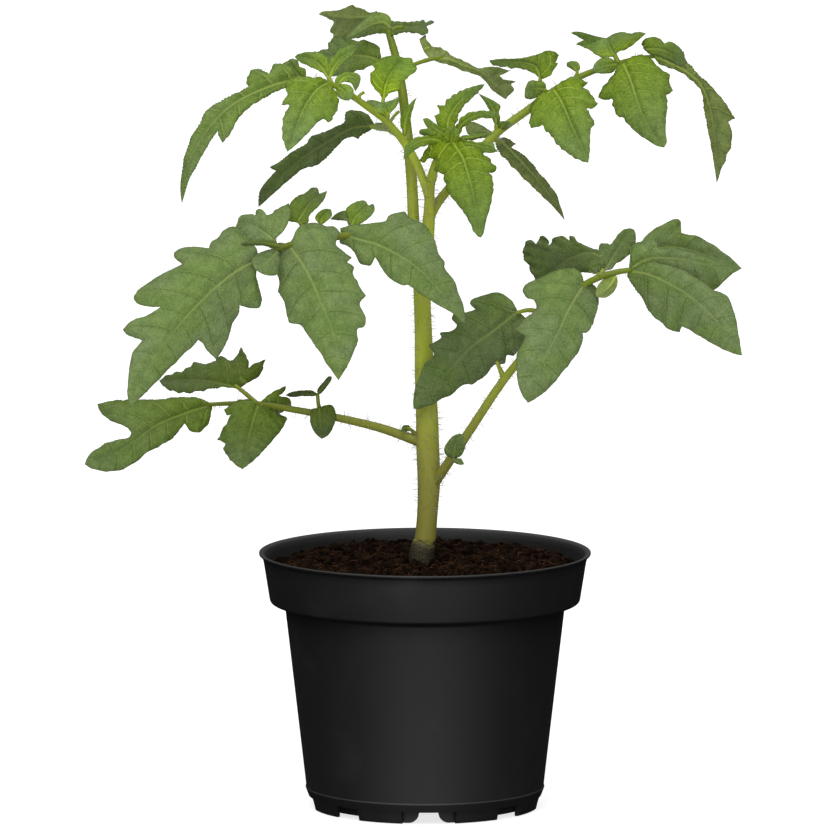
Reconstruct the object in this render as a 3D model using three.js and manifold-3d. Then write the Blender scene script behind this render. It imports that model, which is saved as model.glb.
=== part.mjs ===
// A young tomato plant growing in a round nursery pot.
// Millimetres, +Z up, +X to the right, +Y to the back. The pot stands on z = 0,
// and the origin is the centre of the pad in the middle of its foot.

import * as THREE from 'three';
import Module from 'manifold-3d';

const wasm = await Module();
wasm.setup();

// ---- driving dimensions ---------------------------------------------------------------------

const RIM_RADIUS = 60;
const POT_HEIGHT = 93;
const WALL = 1.1;
const COLLAR_TOP_RADIUS = 58.4;
const COLLAR_FOOT_RADIUS = 56.5;
const COLLAR_TOP = 90;
const COLLAR_FOOT = 75.2;
const LEDGE_HEIGHT = 73;
const BODY_TOP_RADIUS = 50.5;
const BODY_FOOT_RADIUS = 43;
const BODY_FOOT = 7.5;
const FOOT_TOP_RADIUS = 41.8;
const FOOT_TOP = 3.3;
const FOOT_RADIUS = 41;
const FLOOR_UNDERSIDE = 4.4;
const FLOOR_TOP = FLOOR_UNDERSIDE + 1.2;
const PAD_RADIUS = 10;
const PAD_THICKNESS = 1.2;
const ROUND_SEGMENTS = 40;

const NOTCHES = 8;
const NOTCH_TURN = 2;
const WIDE_NOTCH = 19.4;
const NARROW_NOTCH = 11;
const NOTCH_PANEL = 6.2;
const NOTCH_PANEL_RADIUS = 38.4;
const DRAIN_HOLES = 8;
const DRAIN_RADIUS = 3.5;
const DRAIN_CIRCLE = 30;

const SOIL_LEVEL = 87.6;
const SOIL_GAP = 0.3;

const STEM_GAP = 0.3;
const STEM_BURIED = 20;
const BLADE_THICKNESS = 0.8;

const BLACK = { color: 0x1b1c1c, roughness: 0.42 };
const EARTH = { color: 0x2c1f17, roughness: 1 };
const STEM_GREEN = { color: 0x8a9040, roughness: 0.6 };
const LEAF_GREEN = { color: 0x5f7a3a, roughness: 0.65 };
const DARK_GREEN = { color: 0x45602a, roughness: 0.65 };
const BRIGHT_GREEN = { color: 0x7d9a2e, roughness: 0.6 };

// ---- the drawing ----------------------------------------------------------------------------

// The plant is drawn in one elevation, seen from SIGHT. A point of the drawing has `across` and
// `up`, read on the plane through the pot's axis, and `back`, its depth behind that plane, and it
// lies on the line of sight through (across, up).
const SIGHT = new THREE.Vector3(-3.6, -4952, 833.5);

const place = ([across, up, back]) => {
  const reach = back / -SIGHT.y;
  return new THREE.Vector3(across + (across - SIGHT.x) * reach, back, up + (up - SIGHT.z) * reach);
};

// ---- solids ---------------------------------------------------------------------------------

const solidOf = (points, triangles) => {
  const vertProperties = new Float32Array(points.flatMap((p) => [p.x, p.y, p.z]));
  const triVerts = new Uint32Array(triangles.flat());
  return new wasm.Manifold(new wasm.Mesh({ numProp: 3, vertProperties, triVerts }));
};

const meshOf = (name, solid, finish) => {
  const { numProp, vertProperties, triVerts } = solid.getMesh();
  const position = new Float32Array((vertProperties.length / numProp) * 3);
  for (let i = 0; i < position.length / 3; i += 1) {
    position.set(vertProperties.subarray(i * numProp, i * numProp + 3), i * 3);
  }
  const geometry = new THREE.BufferGeometry();
  geometry.setAttribute('position', new THREE.BufferAttribute(position, 3));
  geometry.setIndex(new THREE.BufferAttribute(new Uint32Array(triVerts), 1));
  geometry.computeVertexNormals();
  const material = new THREE.MeshStandardMaterial({ metalness: 0, flatShading: true, ...finish });
  const mesh = new THREE.Mesh(geometry, material);
  mesh.name = name;
  return mesh;
};

const joined = (solids) => solids.reduce((whole, next) => whole.add(next));

// A solid turned about +Z from a profile of [radius, height] pairs that starts and ends on the
// axis, bottom first. `lift` may move a ring's point up or down.
const turned = (profile, segments, lift = () => 0) => {
  const points = [];
  const rings = profile.map(([radius, height], ring) => {
    const count = radius === 0 ? 1 : segments;
    return Array.from({ length: count }, (_, i) => {
      const angle = (2 * Math.PI * i) / segments;
      const x = radius * Math.cos(angle);
      const y = radius * Math.sin(angle);
      return points.push(new THREE.Vector3(x, y, height + lift(ring, x, y))) - 1;
    });
  });
  const triangles = [];
  for (let ring = 0; ring + 1 < rings.length; ring += 1) {
    for (let i = 0; i < segments; i += 1) {
      const at = (row, step) => row[(i + step) % row.length];
      const [a, b] = [at(rings[ring], 0), at(rings[ring], 1)];
      const [c, d] = [at(rings[ring + 1], 0), at(rings[ring + 1], 1)];
      if (a !== b) triangles.push([a, b, d]);
      if (c !== d) triangles.push([a, d, c]);
    }
  }
  return solidOf(points, triangles);
};

const boxAt = (width, depth, height, radius, angle, bottom) => {
  const box = new THREE.BoxGeometry(depth, width, height);
  box.translate(radius, 0, bottom + height / 2);
  box.rotateZ(angle);
  const { position } = box.attributes;
  const points = [];
  const corner = (i) => {
    const here = new THREE.Vector3().fromBufferAttribute(position, i);
    const known = points.findIndex((p) => p.distanceTo(here) < 0.001);
    return known < 0 ? points.push(here) - 1 : known;
  };
  const corners = Array.from(box.index.array, corner);
  const triangles = [];
  for (let i = 0; i < corners.length; i += 3) triangles.push(corners.slice(i, i + 3));
  return solidOf(points, triangles);
};

const MAIN = { sides: 10, steps: 1 };
const PETIOLE = { sides: 6, steps: 1 };
const PETIOLULE = { sides: 5, steps: 1 };

// A round stalk through stations [across, up, back, diameter], smooth between them. `grow` makes
// it bigger all round.
const stalk = (stations, { sides, steps, grow = 0 }) => {
  const route = new THREE.CatmullRomCurve3(stations.map(place));
  const spans = stations.length - 1;
  const points = [];
  const rings = [];
  const side = new THREE.Vector3(0, 1, 0.3);
  for (let i = 0; i <= spans * steps; i += 1) {
    const t = i / (spans * steps);
    const span = Math.min(Math.floor(t * spans), spans - 1);
    const width = THREE.MathUtils.lerp(stations[span][3], stations[span + 1][3], t * spans - span);
    const along = route.getTangent(t);
    const end = i === 0 ? -grow : Number(i === spans * steps) * grow;
    const centre = route.getPoint(t).addScaledVector(along, end);
    side.addScaledVector(along, -side.dot(along)).normalize();
    const other = new THREE.Vector3().crossVectors(along, side);
    rings.push(Array.from({ length: sides }, (_, k) => {
      const angle = (2 * Math.PI * k) / sides;
      const reach = width / 2 + grow;
      const point = centre.clone().addScaledVector(side, reach * Math.cos(angle));
      return points.push(point.addScaledVector(other, reach * Math.sin(angle))) - 1;
    }));
  }
  const triangles = [];
  for (let ring = 0; ring + 1 < rings.length; ring += 1) {
    for (let k = 0; k < sides; k += 1) {
      const next = (k + 1) % sides;
      const [near, far] = [rings[ring], rings[ring + 1]];
      triangles.push([near[k], near[next], far[next]], [near[k], far[next], far[k]]);
    }
  }
  const [first, last] = [rings[0], rings[rings.length - 1]];
  for (let k = 1; k + 1 < sides; k += 1) {
    triangles.push([first[0], first[k + 1], first[k]], [last[0], last[k], last[k + 1]]);
  }
  return solidOf(points, triangles);
};

// ---- leaflets -------------------------------------------------------------------------------

const pairs = (flat) => Array.from({ length: flat.length / 2 }, (_, i) => flat.slice(2 * i, 2 * i + 2));
const triples = (flat) => Array.from({ length: flat.length / 3 }, (_, i) => flat.slice(3 * i, 3 * i + 3));

const MIDRIB_STEPS = 5;

// One thin blade. `midrib` runs from base to tip as [across, up, back] points. `one` and `two` are
// its two edges from base to tip as [across, up] points, without the base and the tip. `lean` says
// how far each half falls back for each millimetre away from the midrib.
const leaflet = ({ midrib, one, two, lean }) => {
  const spine = new THREE.CatmullRomCurve3(triples(midrib).map((p) => new THREE.Vector3(...p)));
  const samples = spine.getPoints(60);
  const edgePoint = ([across, up], slope) => {
    const gaps = samples.map(({ x, y }) => Math.hypot(across - x, up - y));
    const gap = Math.min(...gaps);
    return new THREE.Vector3(across, up, samples[gaps.indexOf(gap)].z + slope * gap);
  };
  const drawn = [
    ...spine.getPoints(MIDRIB_STEPS),
    ...pairs(one).map((point) => edgePoint(point, lean[0])),
    ...pairs(two).map((point) => edgePoint(point, lean[1])),
  ];
  const ids = drawn.map((_, i) => i);
  const middle = ids.slice(0, MIDRIB_STEPS + 1);
  const firstEdge = ids.slice(MIDRIB_STEPS + 1, MIDRIB_STEPS + 1 + one.length / 2);
  const secondEdge = ids.slice(MIDRIB_STEPS + 1 + one.length / 2);
  const area = (loop) => THREE.ShapeUtils.area(loop.map((id) => drawn[id]));

  const face = [firstEdge, secondEdge].flatMap((edge) => {
    const loop = [...middle, ...edge.toReversed()];
    const corners = THREE.ShapeUtils.triangulateShape(loop.map((id) => drawn[id]), []);
    const filled = corners.map((corner) => corner.map((i) => loop[i]));
    const turn = filled.reduce((sum, triangle) => sum + area(triangle), 0);
    return turn > 0 ? filled : filled.map((triangle) => triangle.toReversed());
  });

  const points = drawn.map(({ x, y, z }) => place([x, y, z]));
  const normals = points.map(() => new THREE.Vector3());
  face.forEach(([a, b, c]) => {
    const edge = new THREE.Vector3().subVectors(points[b], points[a]);
    const normal = edge.cross(new THREE.Vector3().subVectors(points[c], points[a]));
    [a, b, c].forEach((id) => normals[id].add(normal));
  });
  normals.forEach((normal) => normal.normalize());
  const skin = (offset) => points.map((p, i) => p.clone().addScaledVector(normals[i], offset));
  const under = (id) => id + points.length;
  const triangles = face.flatMap(([a, b, c]) => [[a, b, c], [under(a), under(c), under(b)]]);
  const outline = [0, ...firstEdge, MIDRIB_STEPS, ...secondEdge.toReversed()];
  const rim = area(outline) > 0 ? outline : outline.toReversed();
  rim.forEach((id, i) => {
    const next = rim[(i + 1) % rim.length];
    triangles.push([id, under(id), under(next)], [id, under(next), next]);
  });
  return solidOf([...skin(BLADE_THICKNESS / 2), ...skin(-BLADE_THICKNESS / 2)], triangles);
};

// ---- pot ------------------------------------------------------------------------------------

const potSolid = () => {
  const shell = turned([
    [0, 0],
    [PAD_RADIUS, 0],
    [PAD_RADIUS, FLOOR_UNDERSIDE],
    [FOOT_RADIUS - 1.4, FLOOR_UNDERSIDE],
    [FOOT_RADIUS - 1.4, 0],
    [FOOT_RADIUS, 0],
    [FOOT_TOP_RADIUS, FOOT_TOP],
    [BODY_FOOT_RADIUS, BODY_FOOT],
    [BODY_TOP_RADIUS, LEDGE_HEIGHT - 1.2],
    [BODY_TOP_RADIUS + 1, LEDGE_HEIGHT],
    [COLLAR_FOOT_RADIUS, COLLAR_FOOT],
    [COLLAR_TOP_RADIUS, COLLAR_TOP],
    [RIM_RADIUS - 0.2, COLLAR_TOP + 0.8],
    [RIM_RADIUS, COLLAR_TOP + 2],
    [RIM_RADIUS - 0.6, POT_HEIGHT],
    [COLLAR_TOP_RADIUS - 0.6, POT_HEIGHT],
    [COLLAR_TOP_RADIUS - WALL, COLLAR_TOP + 1],
    [COLLAR_FOOT_RADIUS - WALL, COLLAR_FOOT + 1],
    [BODY_TOP_RADIUS - WALL, LEDGE_HEIGHT + 0.6],
    [BODY_FOOT_RADIUS - WALL, FLOOR_TOP + 2],
    [BODY_FOOT_RADIUS - WALL - 1.5, FLOOR_TOP],
    [PAD_RADIUS, FLOOR_TOP],
    [PAD_RADIUS - WALL, PAD_THICKNESS],
    [0, PAD_THICKNESS],
  ], ROUND_SEGMENTS);

  const cuts = [];
  const panels = [];
  for (let i = 0; i < NOTCHES; i += 1) {
    const angle = THREE.MathUtils.degToRad(-90 + NOTCH_TURN + (360 * i) / NOTCHES);
    const wide = i % 2 === 0;
    const width = wide ? WIDE_NOTCH : NARROW_NOTCH;
    cuts.push(boxAt(width, 6, FLOOR_UNDERSIDE, FOOT_RADIUS, angle, -1));
    if (!wide) continue;
    for (const side of [-1, 1]) {
      const shift = (side * (width - NOTCH_PANEL)) / 2 / NOTCH_PANEL_RADIUS;
      panels.push(boxAt(NOTCH_PANEL, WALL, FLOOR_TOP - 1.4, NOTCH_PANEL_RADIUS, angle + shift, 0.6));
    }
  }
  for (let i = 0; i < DRAIN_HOLES; i += 1) {
    const angle = THREE.MathUtils.degToRad(-90 + NOTCH_TURN + (360 * (i + 0.5)) / DRAIN_HOLES);
    cuts.push(turned([[0, 0], [DRAIN_RADIUS, 0], [DRAIN_RADIUS, 10], [0, 10]], 12)
      .translate([DRAIN_CIRCLE * Math.cos(angle), DRAIN_CIRCLE * Math.sin(angle), 0]));
  }
  return joined([shell.subtract(joined(cuts)), ...panels]);
};

// ---- soil -----------------------------------------------------------------------------------

// The surface is heaped behind the stem and lower towards the wall on both sides.
const soilRise = (x, y) => {
  const heap = 2.6 * Math.exp(-((x - 6) ** 2 + (y - 14) ** 2) / 420);
  const slope = y > 0 ? 0.022 * y : 0.006 * y;
  const wall = -1.6 * (Math.hypot(x, y) / RIM_RADIUS) ** 6 * (Math.abs(x) / RIM_RADIUS + 0.3);
  const crumb = 0.5 * Math.sin(0.31 * x + 0.9) * Math.sin(0.27 * y - 0.4) + 0.3 * Math.sin(0.6 * x - 0.5 * y);
  return heap + slope + wall + crumb;
};

const soilSolid = (hole) => {
  const inner = WALL + SOIL_GAP;
  const floor = FLOOR_TOP + SOIL_GAP;
  const collarRadius = COLLAR_FOOT_RADIUS - inner;
  const edge = collarRadius + ((SOIL_LEVEL - COLLAR_FOOT) / (COLLAR_TOP - COLLAR_FOOT)) * 1.7;
  const walls = [
    [0, PAD_THICKNESS + SOIL_GAP],
    [PAD_RADIUS - inner - 0.2, PAD_THICKNESS + SOIL_GAP],
    [PAD_RADIUS - 0.4, floor],
    [BODY_FOOT_RADIUS - inner - 1.9, floor],
    [BODY_FOOT_RADIUS - inner - 0.2, floor + 2.2],
    [BODY_TOP_RADIUS - inner - 0.2, LEDGE_HEIGHT + 0.9],
    [collarRadius - 0.3, COLLAR_FOOT + 1.4],
    [edge - 0.2, SOIL_LEVEL - 3],
  ];
  const surface = [edge, 49, 39, 29, 19, 10, 0].map((radius) => [radius, SOIL_LEVEL]);
  const lift = (ring, x, y) => (ring < walls.length ? 0 : soilRise(x, y));
  return turned([...walls, ...surface], ROUND_SEGMENTS, lift).subtract(hole);
};

// ---- the plant's drawing --------------------------------------------------------------------

// Stations are [across, up, back, diameter].
const MAIN_STEM = [
  [-1.6, SOIL_LEVEL - STEM_BURIED, 0, 7.6],
  [-1.4, 84, 0, 8.8],
  [-1.0, 91, 0, 8.9],
  [0.3, 99, 0, 7.5],
  [1.0, 109, 0, 7.5],
  [1.4, 119, 0, 8.2],
  [1.0, 131, 0, 8.3],
  [0.7, 143, 0, 8.0],
  [-0.1, 158, 0, 7.2],
  [-0.6, 173, 0, 6.3],
  [-1.0, 186, 0, 6.2],
  [-0.9, 197, 0, 6.8],
  [0.6, 206, -0.5, 5.2],
  [1.4, 214, -1.2, 4.4],
  [1.6, 220, -1.8, 3.8],
  [1.8, 225, -2.8, 3.4],
  [2.5, 229.5, -4.8, 3.2],
];

const LEAVES = {
  leaf_1: {
    finish: DARK_GREEN,
    stalks: [
      [[0, 132.6, 0, 3.6], [-6, 134.4, 1, 3.2], [-16.2, 138, 4, 2.9], [-32.4, 142, 9, 2.6],
        [-50.5, 145.3, 14, 2.3], [-60, 146.8, 17, 2.1], [-70, 147, 19, 1.7], [-78.5, 146.6, 20, 1.5]],
      [[-60.5, 146.8, 17, 1.7], [-64.5, 150.4, 20, 1.6], [-68.5, 153.6, 23, 1.4]],
      [[-37.4, 143.2, 10.5, 1.6], [-38.4, 146.5, 10, 1.4], [-38.8, 150.6, 9.5, 1.3]],
      [[-37.8, 143, 10.5, 1.4], [-38.2, 144.8, 8, 1.3]],
      [[-3, 135.2, 0.5, 1.8], [-5, 137.4, -0.8, 1.2], [-6.6, 138.2, -1.6, 1.2]],
    ],
    leaflets: [
      { // terminal, forked
        midrib: [-76.6, 146.6, 20, -86, 143.6, 17, -97, 139, 14, -105, 133.2, 11, -112.5, 128.4, 9,
          -122.9, 124.9, 8],
        one: [-80.1, 148.3, -86.3, 149.4, -95.1, 148.6, -105.1, 148.1, -113.8, 147.9, -118.2, 146.7,
          -117.3, 144.2, -113.5, 140.6, -108.2, 138.5, -106, 136.3, -106.9, 134.7, -114.4, 132.8,
          -118.2, 130.6, -121.6, 127.8],
        two: [-77.3, 142.9, -77.9, 140.1, -79.4, 138.2, -81.9, 136.2, -84.4, 136.9, -86.9, 139.6,
          -88.8, 137, -91.9, 133.8, -96.9, 130.9, -101.3, 128.4, -104.4, 125.6, -110.1, 122.7,
          -115.1, 122.2, -120.4, 123.3],
        lean: [0.45, -0.35],
      },
      { // rear, seen half from the side
        midrib: [-66.8, 152.6, 22, -71.3, 153.7, 25, -79, 155.2, 30, -88.8, 155.4, 36, -96, 155.4, 42],
        one: [-63.8, 154.6, -60.1, 156.8, -58.8, 159.3, -57.7, 162.8, -61.3, 161.5, -63.5, 159.9,
          -64.2, 163.6, -66.2, 167.3, -68, 164.4, -69.2, 162.4, -74.1, 163.8, -77.3, 161.5,
          -83.2, 161.7, -86.3, 159.3, -93.2, 157.1],
        two: [-72.6, 153, -80.1, 151.7, -86.3, 150.8, -92.6, 152, -94.6, 153.4],
        lean: [0.9, -1.2],
      },
      { // front, hanging
        midrib: [-60, 147, 16.5, -61.6, 142.3, 13, -63.2, 136.6, 9, -64.4, 130.9, 5, -65.8, 123.1, 0],
        one: [-63.8, 148.5, -68.5, 147.6, -72.6, 144.5, -71.2, 142.8, -69.8, 142.8, -72.1, 139.1,
          -74.9, 133.8, -71.9, 132.5, -72.6, 130.3, -71.3, 127.8, -68.8, 124.9],
        two: [-57.2, 149.6, -53.8, 151.8, -50.4, 153.3, -50.6, 151.4, -53, 149.9, -48.8, 148.6,
          -48.4, 145.3, -52.6, 143.4, -49.8, 141.2, -51.9, 137.2, -55.7, 132.8, -60.7, 127.2],
        lean: [0.3, 0.25],
      },
      { // small oval
        midrib: [-38.2, 145.2, 8, -37.8, 140, 5, -37.3, 134.1, 3],
        one: [-40.4, 145.1, -41.5, 142, -40.7, 137.9, -38.8, 135.3],
        two: [-36.3, 146.3, -33.5, 146.3, -32.1, 142.4, -33.2, 138.2, -35.1, 135.3],
        lean: [0.3, 0.3],
      },
      { // edge-on, left arm
        midrib: [-38.6, 150, 9.5, -43.8, 150.7, 12, -50.2, 149.9, 16],
        one: [-40.4, 151.6, -44, 151.7, -48.4, 151],
        two: [-40.4, 149.7, -44, 149.8, -48.2, 149.4],
        lean: [-2.4, 2.2],
      },
      { // edge-on, right arm
        midrib: [-38.8, 150.2, 9.5, -36.6, 153.2, 8, -33.7, 156.8, 7],
        one: [-38.6, 152.2, -36.8, 154.5, -34.6, 156.9],
        two: [-37.4, 150.8, -35.6, 153, -34, 155.3],
        lean: [1.8, -1.8],
      },
      { // tiny curl at the axil
        midrib: [-5.6, 137.6, -1, -7.4, 138.2, -2, -8.8, 136.8, -3.4],
        one: [-5.6, 138.9, -7.8, 139],
        two: [-6.2, 136.9, -7.6, 136.8],
        lean: [0, 0],
      },
    ],
  },
  leaf_2: {
    finish: DARK_GREEN,
    stalks: [
      [[2, 116.5, 0, 4.2], [5.4, 121, -3, 3.8], [16.3, 137.3, -13, 3.3], [27.1, 153.7, -22, 3.1],
        [34.3, 162.9, -26, 2.9], [45, 174.5, -31, 2.7], [53, 184.5, -34, 2.6], [57.6, 190.2, -35, 2.5],
        [63.2, 193, -36, 2.3], [69, 194.8, -37, 2.1], [74.5, 195.6, -37.5, 1.9]],
      [[44, 173.5, -30.6, 2], [42, 179.6, -30, 1.8], [37.5, 181, -28.6, 1.6], [33, 180, -27, 1.4]],
      [[28.6, 155.9, -22.6, 2.2], [27, 159.6, -22, 1.6], [25.8, 162.4, -21.5, 1.2]],
      [[61.5, 192.4, -35.8, 1.8], [63.4, 196, -34, 1.6], [62.6, 200.8, -31.5, 1.4]],
      [[63, 193, -36, 1.8], [64.4, 195.8, -34.6, 1.6]],
    ],
    leaflets: [
      { // large and dark, reaching across the stem
        midrib: [33.4, 180.4, -27, 24.4, 173.2, -21, 16.9, 167.7, -16.5, 10, 160.2, -12.5, 3.1, 153.2, -10,
          -4.2, 145, -8.6],
        one: [32.2, 183.1, 30.8, 184.9, 26.2, 187.4, 20.2, 186.1, 16.7, 184.6, 16.7, 182.8, 18, 181.3,
          15.1, 180.2, 10.9, 179.7, 9.8, 177.9, 11.3, 175.2, 10, 173.6, 5.7, 172.9, 6, 171.2, 3.1, 169.2,
          1.7, 168.4, 3.2, 164.9, 0.7, 162, -1.2, 158.8, -2.8, 154.5, -4.2, 149],
        two: [36, 178.4, 37, 174, 35.6, 169.4, 32, 164.7, 29.4, 164.6, 29, 161.8, 25.5, 161.3,
          21.6, 157.1, 17.5, 154.2, 14.6, 154.2, 10, 150.8, 4.4, 147.8, -1.6, 145.2],
        lean: [0.4, 0.3],
      },
      { // large and pale, hanging in front
        midrib: [57.4, 190.4, -35, 54, 185, -41, 51.2, 180, -45, 47.7, 172.1, -50, 43, 163.2, -55,
          37.2, 147.2, -60],
        one: [56.5, 194, 54.2, 195.9, 49.5, 195.9, 44.7, 194.1, 40.6, 192.5, 36.5, 190.5, 35.2, 188.1,
          36.5, 185.8, 39.4, 184.4, 40, 181.6, 35.9, 177.5, 32.4, 173.9, 33.7, 172.6, 36.2, 171.5,
          34.7, 168, 33.2, 164.4, 33.4, 155.5, 35, 150.1],
        two: [59.2, 191.4, 62.3, 188.4, 62.4, 184.6, 61.3, 178.1, 59.8, 174.5, 58.6, 173, 57, 172.7,
          57.1, 170.3, 53.9, 163.8, 50.6, 159.6, 44.7, 152.5, 39.7, 148.6],
        lean: [0.35, 0.3],
      },
      { // rear, lobed
        midrib: [63.2, 200.6, -31.6, 59.8, 201.8, -29, 53.6, 200.3, -25, 46, 195.6, -19, 40, 190.6, -14],
        one: [62.4, 202.4, 58.9, 204.2, 55.4, 206, 53.3, 207.9, 51.5, 206.7, 49.5, 207.9, 47.4, 206.6,
          45.9, 204.8, 44.4, 206.9, 42.9, 207.9, 41.4, 206.6, 40.9, 204.5, 38.3, 206.3, 36.8, 205.1,
          35.6, 201.2, 36.8, 197.6, 38.5, 193.6],
        two: [64.8, 198.8, 64.8, 196.5, 62.4, 194.4, 56.5, 194.6, 50, 191.6, 44, 189.4],
        lean: [0.5, -0.5],
      },
      { // small, upright
        midrib: [64.4, 195.2, -34.8, 68, 200, -29, 71.4, 205.6, -24, 74.6, 211, -20],
        one: [64, 198.6, 63.3, 201.8, 63.1, 204.6, 64.8, 205.1, 66.3, 204.8, 68.3, 206.3, 70.1, 208.9,
          72.5, 210.4],
        two: [69.5, 196.9, 74.2, 200.9, 76.3, 204.8, 76.5, 208.8],
        lean: [0.3, -0.4],
      },
      { // end leaflet, lower blade
        midrib: [73.6, 195, -37.4, 80.1, 193.5, -41, 86, 191, -44, 91.9, 187.6, -47, 102.5, 178.6, -53,
          109.6, 170.9, -58, 115.2, 164.3, -62],
        one: [74.3, 192.9, 74.5, 190.2, 76, 187.6, 78.4, 186.1, 79.5, 182.8, 81, 179.8, 83.4, 178.9,
          85.1, 176.3, 91.6, 172.2, 93.4, 173.3, 93.7, 175.1, 95.2, 175.1, 100.2, 169.7, 104.9, 168,
          112.5, 165],
        two: [80, 196.4, 90, 194, 99, 190.8, 104.8, 188.2, 107.8, 186.4, 110.2, 183.4, 112.8, 179.8,
          112, 176.9, 113.4, 173.9, 114.6, 169.1],
        lean: [0.35, 0.3],
      },
      { // end leaflet, upper blade
        midrib: [74.4, 196.2, -37.6, 83, 199.6, -36, 92, 200.4, -34, 103, 199, -32, 115.2, 195.9, -31],
        one: [76.2, 202, 76.9, 204.8, 79.5, 205.7, 82.5, 209.5, 86, 211.6, 92.2, 213.7, 93.4, 211.9,
          92.8, 208.6, 96.6, 208, 100.2, 207.1, 108.4, 202.4, 112.5, 199.4],
        two: [80, 195.6, 90, 192.6, 100, 189.6, 104.8, 188.2, 107.2, 189.3, 110.8, 191.7, 112.8, 194.1,
          111.6, 195, 114.2, 195.2],
        lean: [0.5, -0.5],
      },
      { // pale curl under the rachis
        midrib: [69, 194.4, -37, 67.9, 190, -37.5, 62.6, 185.4, -38.5],
        one: [69.8, 191.6, 67.4, 187.2],
        two: [67, 191.6, 65.6, 188.8, 63.2, 187.4],
        lean: [0.4, 0.4],
      },
      { // small folded leaflet low on the petiole
        midrib: [10.2, 127.2, -9, 10.6, 131.4, -11.5, 12.6, 135.7, -13.5],
        one: [6.6, 129.3, 8.1, 131.7, 9.1, 134, 10.9, 135.5],
        two: [13.6, 128, 13, 129.4, 14.4, 131.3, 14.9, 133.6, 14, 135.2],
        lean: [-0.5, 0.2],
      },
      { // tiny one below it
        midrib: [9.6, 126.6, -8.6, 12, 125.9, -10.5, 14.2, 124.8, -12],
        one: [11.2, 127, 13, 126.8],
        two: [11, 125.2, 12.8, 124.6],
        lean: [0.2, 0.2],
      },
    ],
  },
  leaf_3: {
    finish: LEAF_GREEN,
    stalks: [
      [[0, 200.8, -2.2, 3.8], [-3.6, 204, -5.6, 3.5], [-8, 206, -9.5, 3.4], [-17, 208, -17, 3.1], [-27, 208.2, -24, 2.8],
        [-38, 206.6, -31, 2.5], [-49, 204.6, -37, 2.2], [-56, 201.8, -40, 1.9], [-61.5, 198.6, -42, 1.6]],
      [[-46.6, 205, -36, 1.8], [-46.4, 209, -31, 1.6], [-46, 213.4, -26, 1.4]],
      [[-53.4, 203, -39, 1.6], [-54.4, 206.6, -36.5, 1.4]],
      [[-37.6, 206.6, -30.5, 1.6], [-37.6, 212.4, -27, 1.3]],
      [[-27, 208.2, -24, 1.8], [-26.6, 211.4, -22, 1.4]],
    ],
    leaflets: [
      { // terminal
        midrib: [-60.2, 199, -41.5, -66.5, 196.1, -43.5, -76.2, 188.6, -47.5, -83.6, 181.1, -51,
          -89.5, 174.6, -54, -97.5, 163.9, -58.5, -102.8, 154.3, -62.5, -106, 145.4, -66],
        one: [-60.4, 202.6, -63, 206.4, -66.4, 210.6, -69.7, 211.3, -72.7, 209.7, -74.5, 207.3,
          -77, 205.8, -77.9, 203.5, -83.1, 204.1, -87.4, 203.6, -90.3, 201.7, -90, 199.8, -87.6, 197.8,
          -92.2, 195.3, -100.7, 190.4, -103.9, 187.5, -105, 185.1, -103.6, 183.4, -100.2, 182.2,
          -95.1, 182, -100.7, 178.9, -104.7, 177.8, -107.7, 175.4, -108.8, 173.6, -107.7, 172.2,
          -102, 170.1, -105.5, 165, -106.8, 159.1, -107.1, 147.9],
        two: [-61, 193.9, -59.6, 188.6, -58.6, 184.5, -59.9, 182, -62.8, 181.7, -67.2, 182.9,
          -67.3, 180, -69.2, 176.2, -72.9, 166.6, -75.3, 162.7, -78.8, 166.6, -80.2, 169.3,
          -81.6, 170.1, -85.8, 166.1, -90, 162, -98, 153.7, -102.8, 148.9],
        lean: [0.35, 0.3],
      },
      { // large, hanging
        midrib: [-49.3, 204.8, -37, -44.9, 198.9, -40, -41, 192, -43, -37.7, 184.2, -47, -34.3, 176.3, -51,
          -31.8, 167.5, -55, -31.2, 155.4, -60],
        one: [-52.2, 205.6, -54.4, 204.2, -55, 200, -53.3, 194, -52.5, 190.5, -52.9, 187.6,
          -51.2, 185.1, -50.2, 181.2, -49.5, 178.3, -48.1, 176.2, -45, 175.6, -41, 170, -37.2, 164.6,
          -33.8, 159.2],
        two: [-47.6, 207.2, -46.4, 210.1, -44.4, 211.8, -39.1, 212.8, -35.2, 211.3, -32.8, 211.4,
          -30.8, 209, -31.6, 206.7, -32.1, 205, -29.9, 202.8, -26.4, 199.8, -28.2, 198.3,
          -25.6, 196.6, -26, 194.5, -24.8, 191.8, -21.3, 186.1, -23.5, 183.4, -22.2, 180.3,
          -21.3, 177.3, -21.9, 175.1, -24.3, 174.1, -24.3, 170, -25.5, 166.1, -28, 160.7],
        lean: [0.3, 0.3],
      },
      { // large, across the stem
        midrib: [-27.3, 207.8, -24, -22.1, 206.2, -26, -17.6, 205, -27.5, -9.3, 200.8, -30, -0.3, 194.2, -32,
          9.1, 183.4, -33.5, 14.4, 176.2, -34],
        one: [-27.4, 210.4, -21.4, 212.4, -14.3, 213.2, -13.2, 215, -10, 216.3, -7.2, 216.5,
          -6.3, 215.2, -1.6, 212.7, 1.1, 210.6, 3.6, 205.7, 5.3, 200.8, 7, 198.1, 6.9, 196.8,
          10.1, 192.1, 13.1, 184.4, 14.6, 178.6],
        two: [-28, 204.7, -25.6, 202.2, -23.5, 198, -22.1, 197.4, -19.7, 197.3, -17.7, 200.2,
          -15.5, 196, -12.7, 192.5, -7.9, 190, -6.2, 190.1, -1.6, 186.7, 4.9, 182.7, 10.8, 179.2,
          12.9, 176.9],
        lean: [0.45, -0.2],
      },
      { // rounded, behind
        midrib: [-54.4, 206.4, -36.6, -58.6, 209.6, -32, -62.6, 212, -27.5, -67.6, 213, -23],
        one: [-50.6, 210.2, -48.4, 216, -49, 219.8, -53.2, 217.7, -56.6, 215.4, -58.7, 217.5,
          -60.8, 217.3, -61.1, 215.5, -64.3, 215.8, -66.8, 215],
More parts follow.
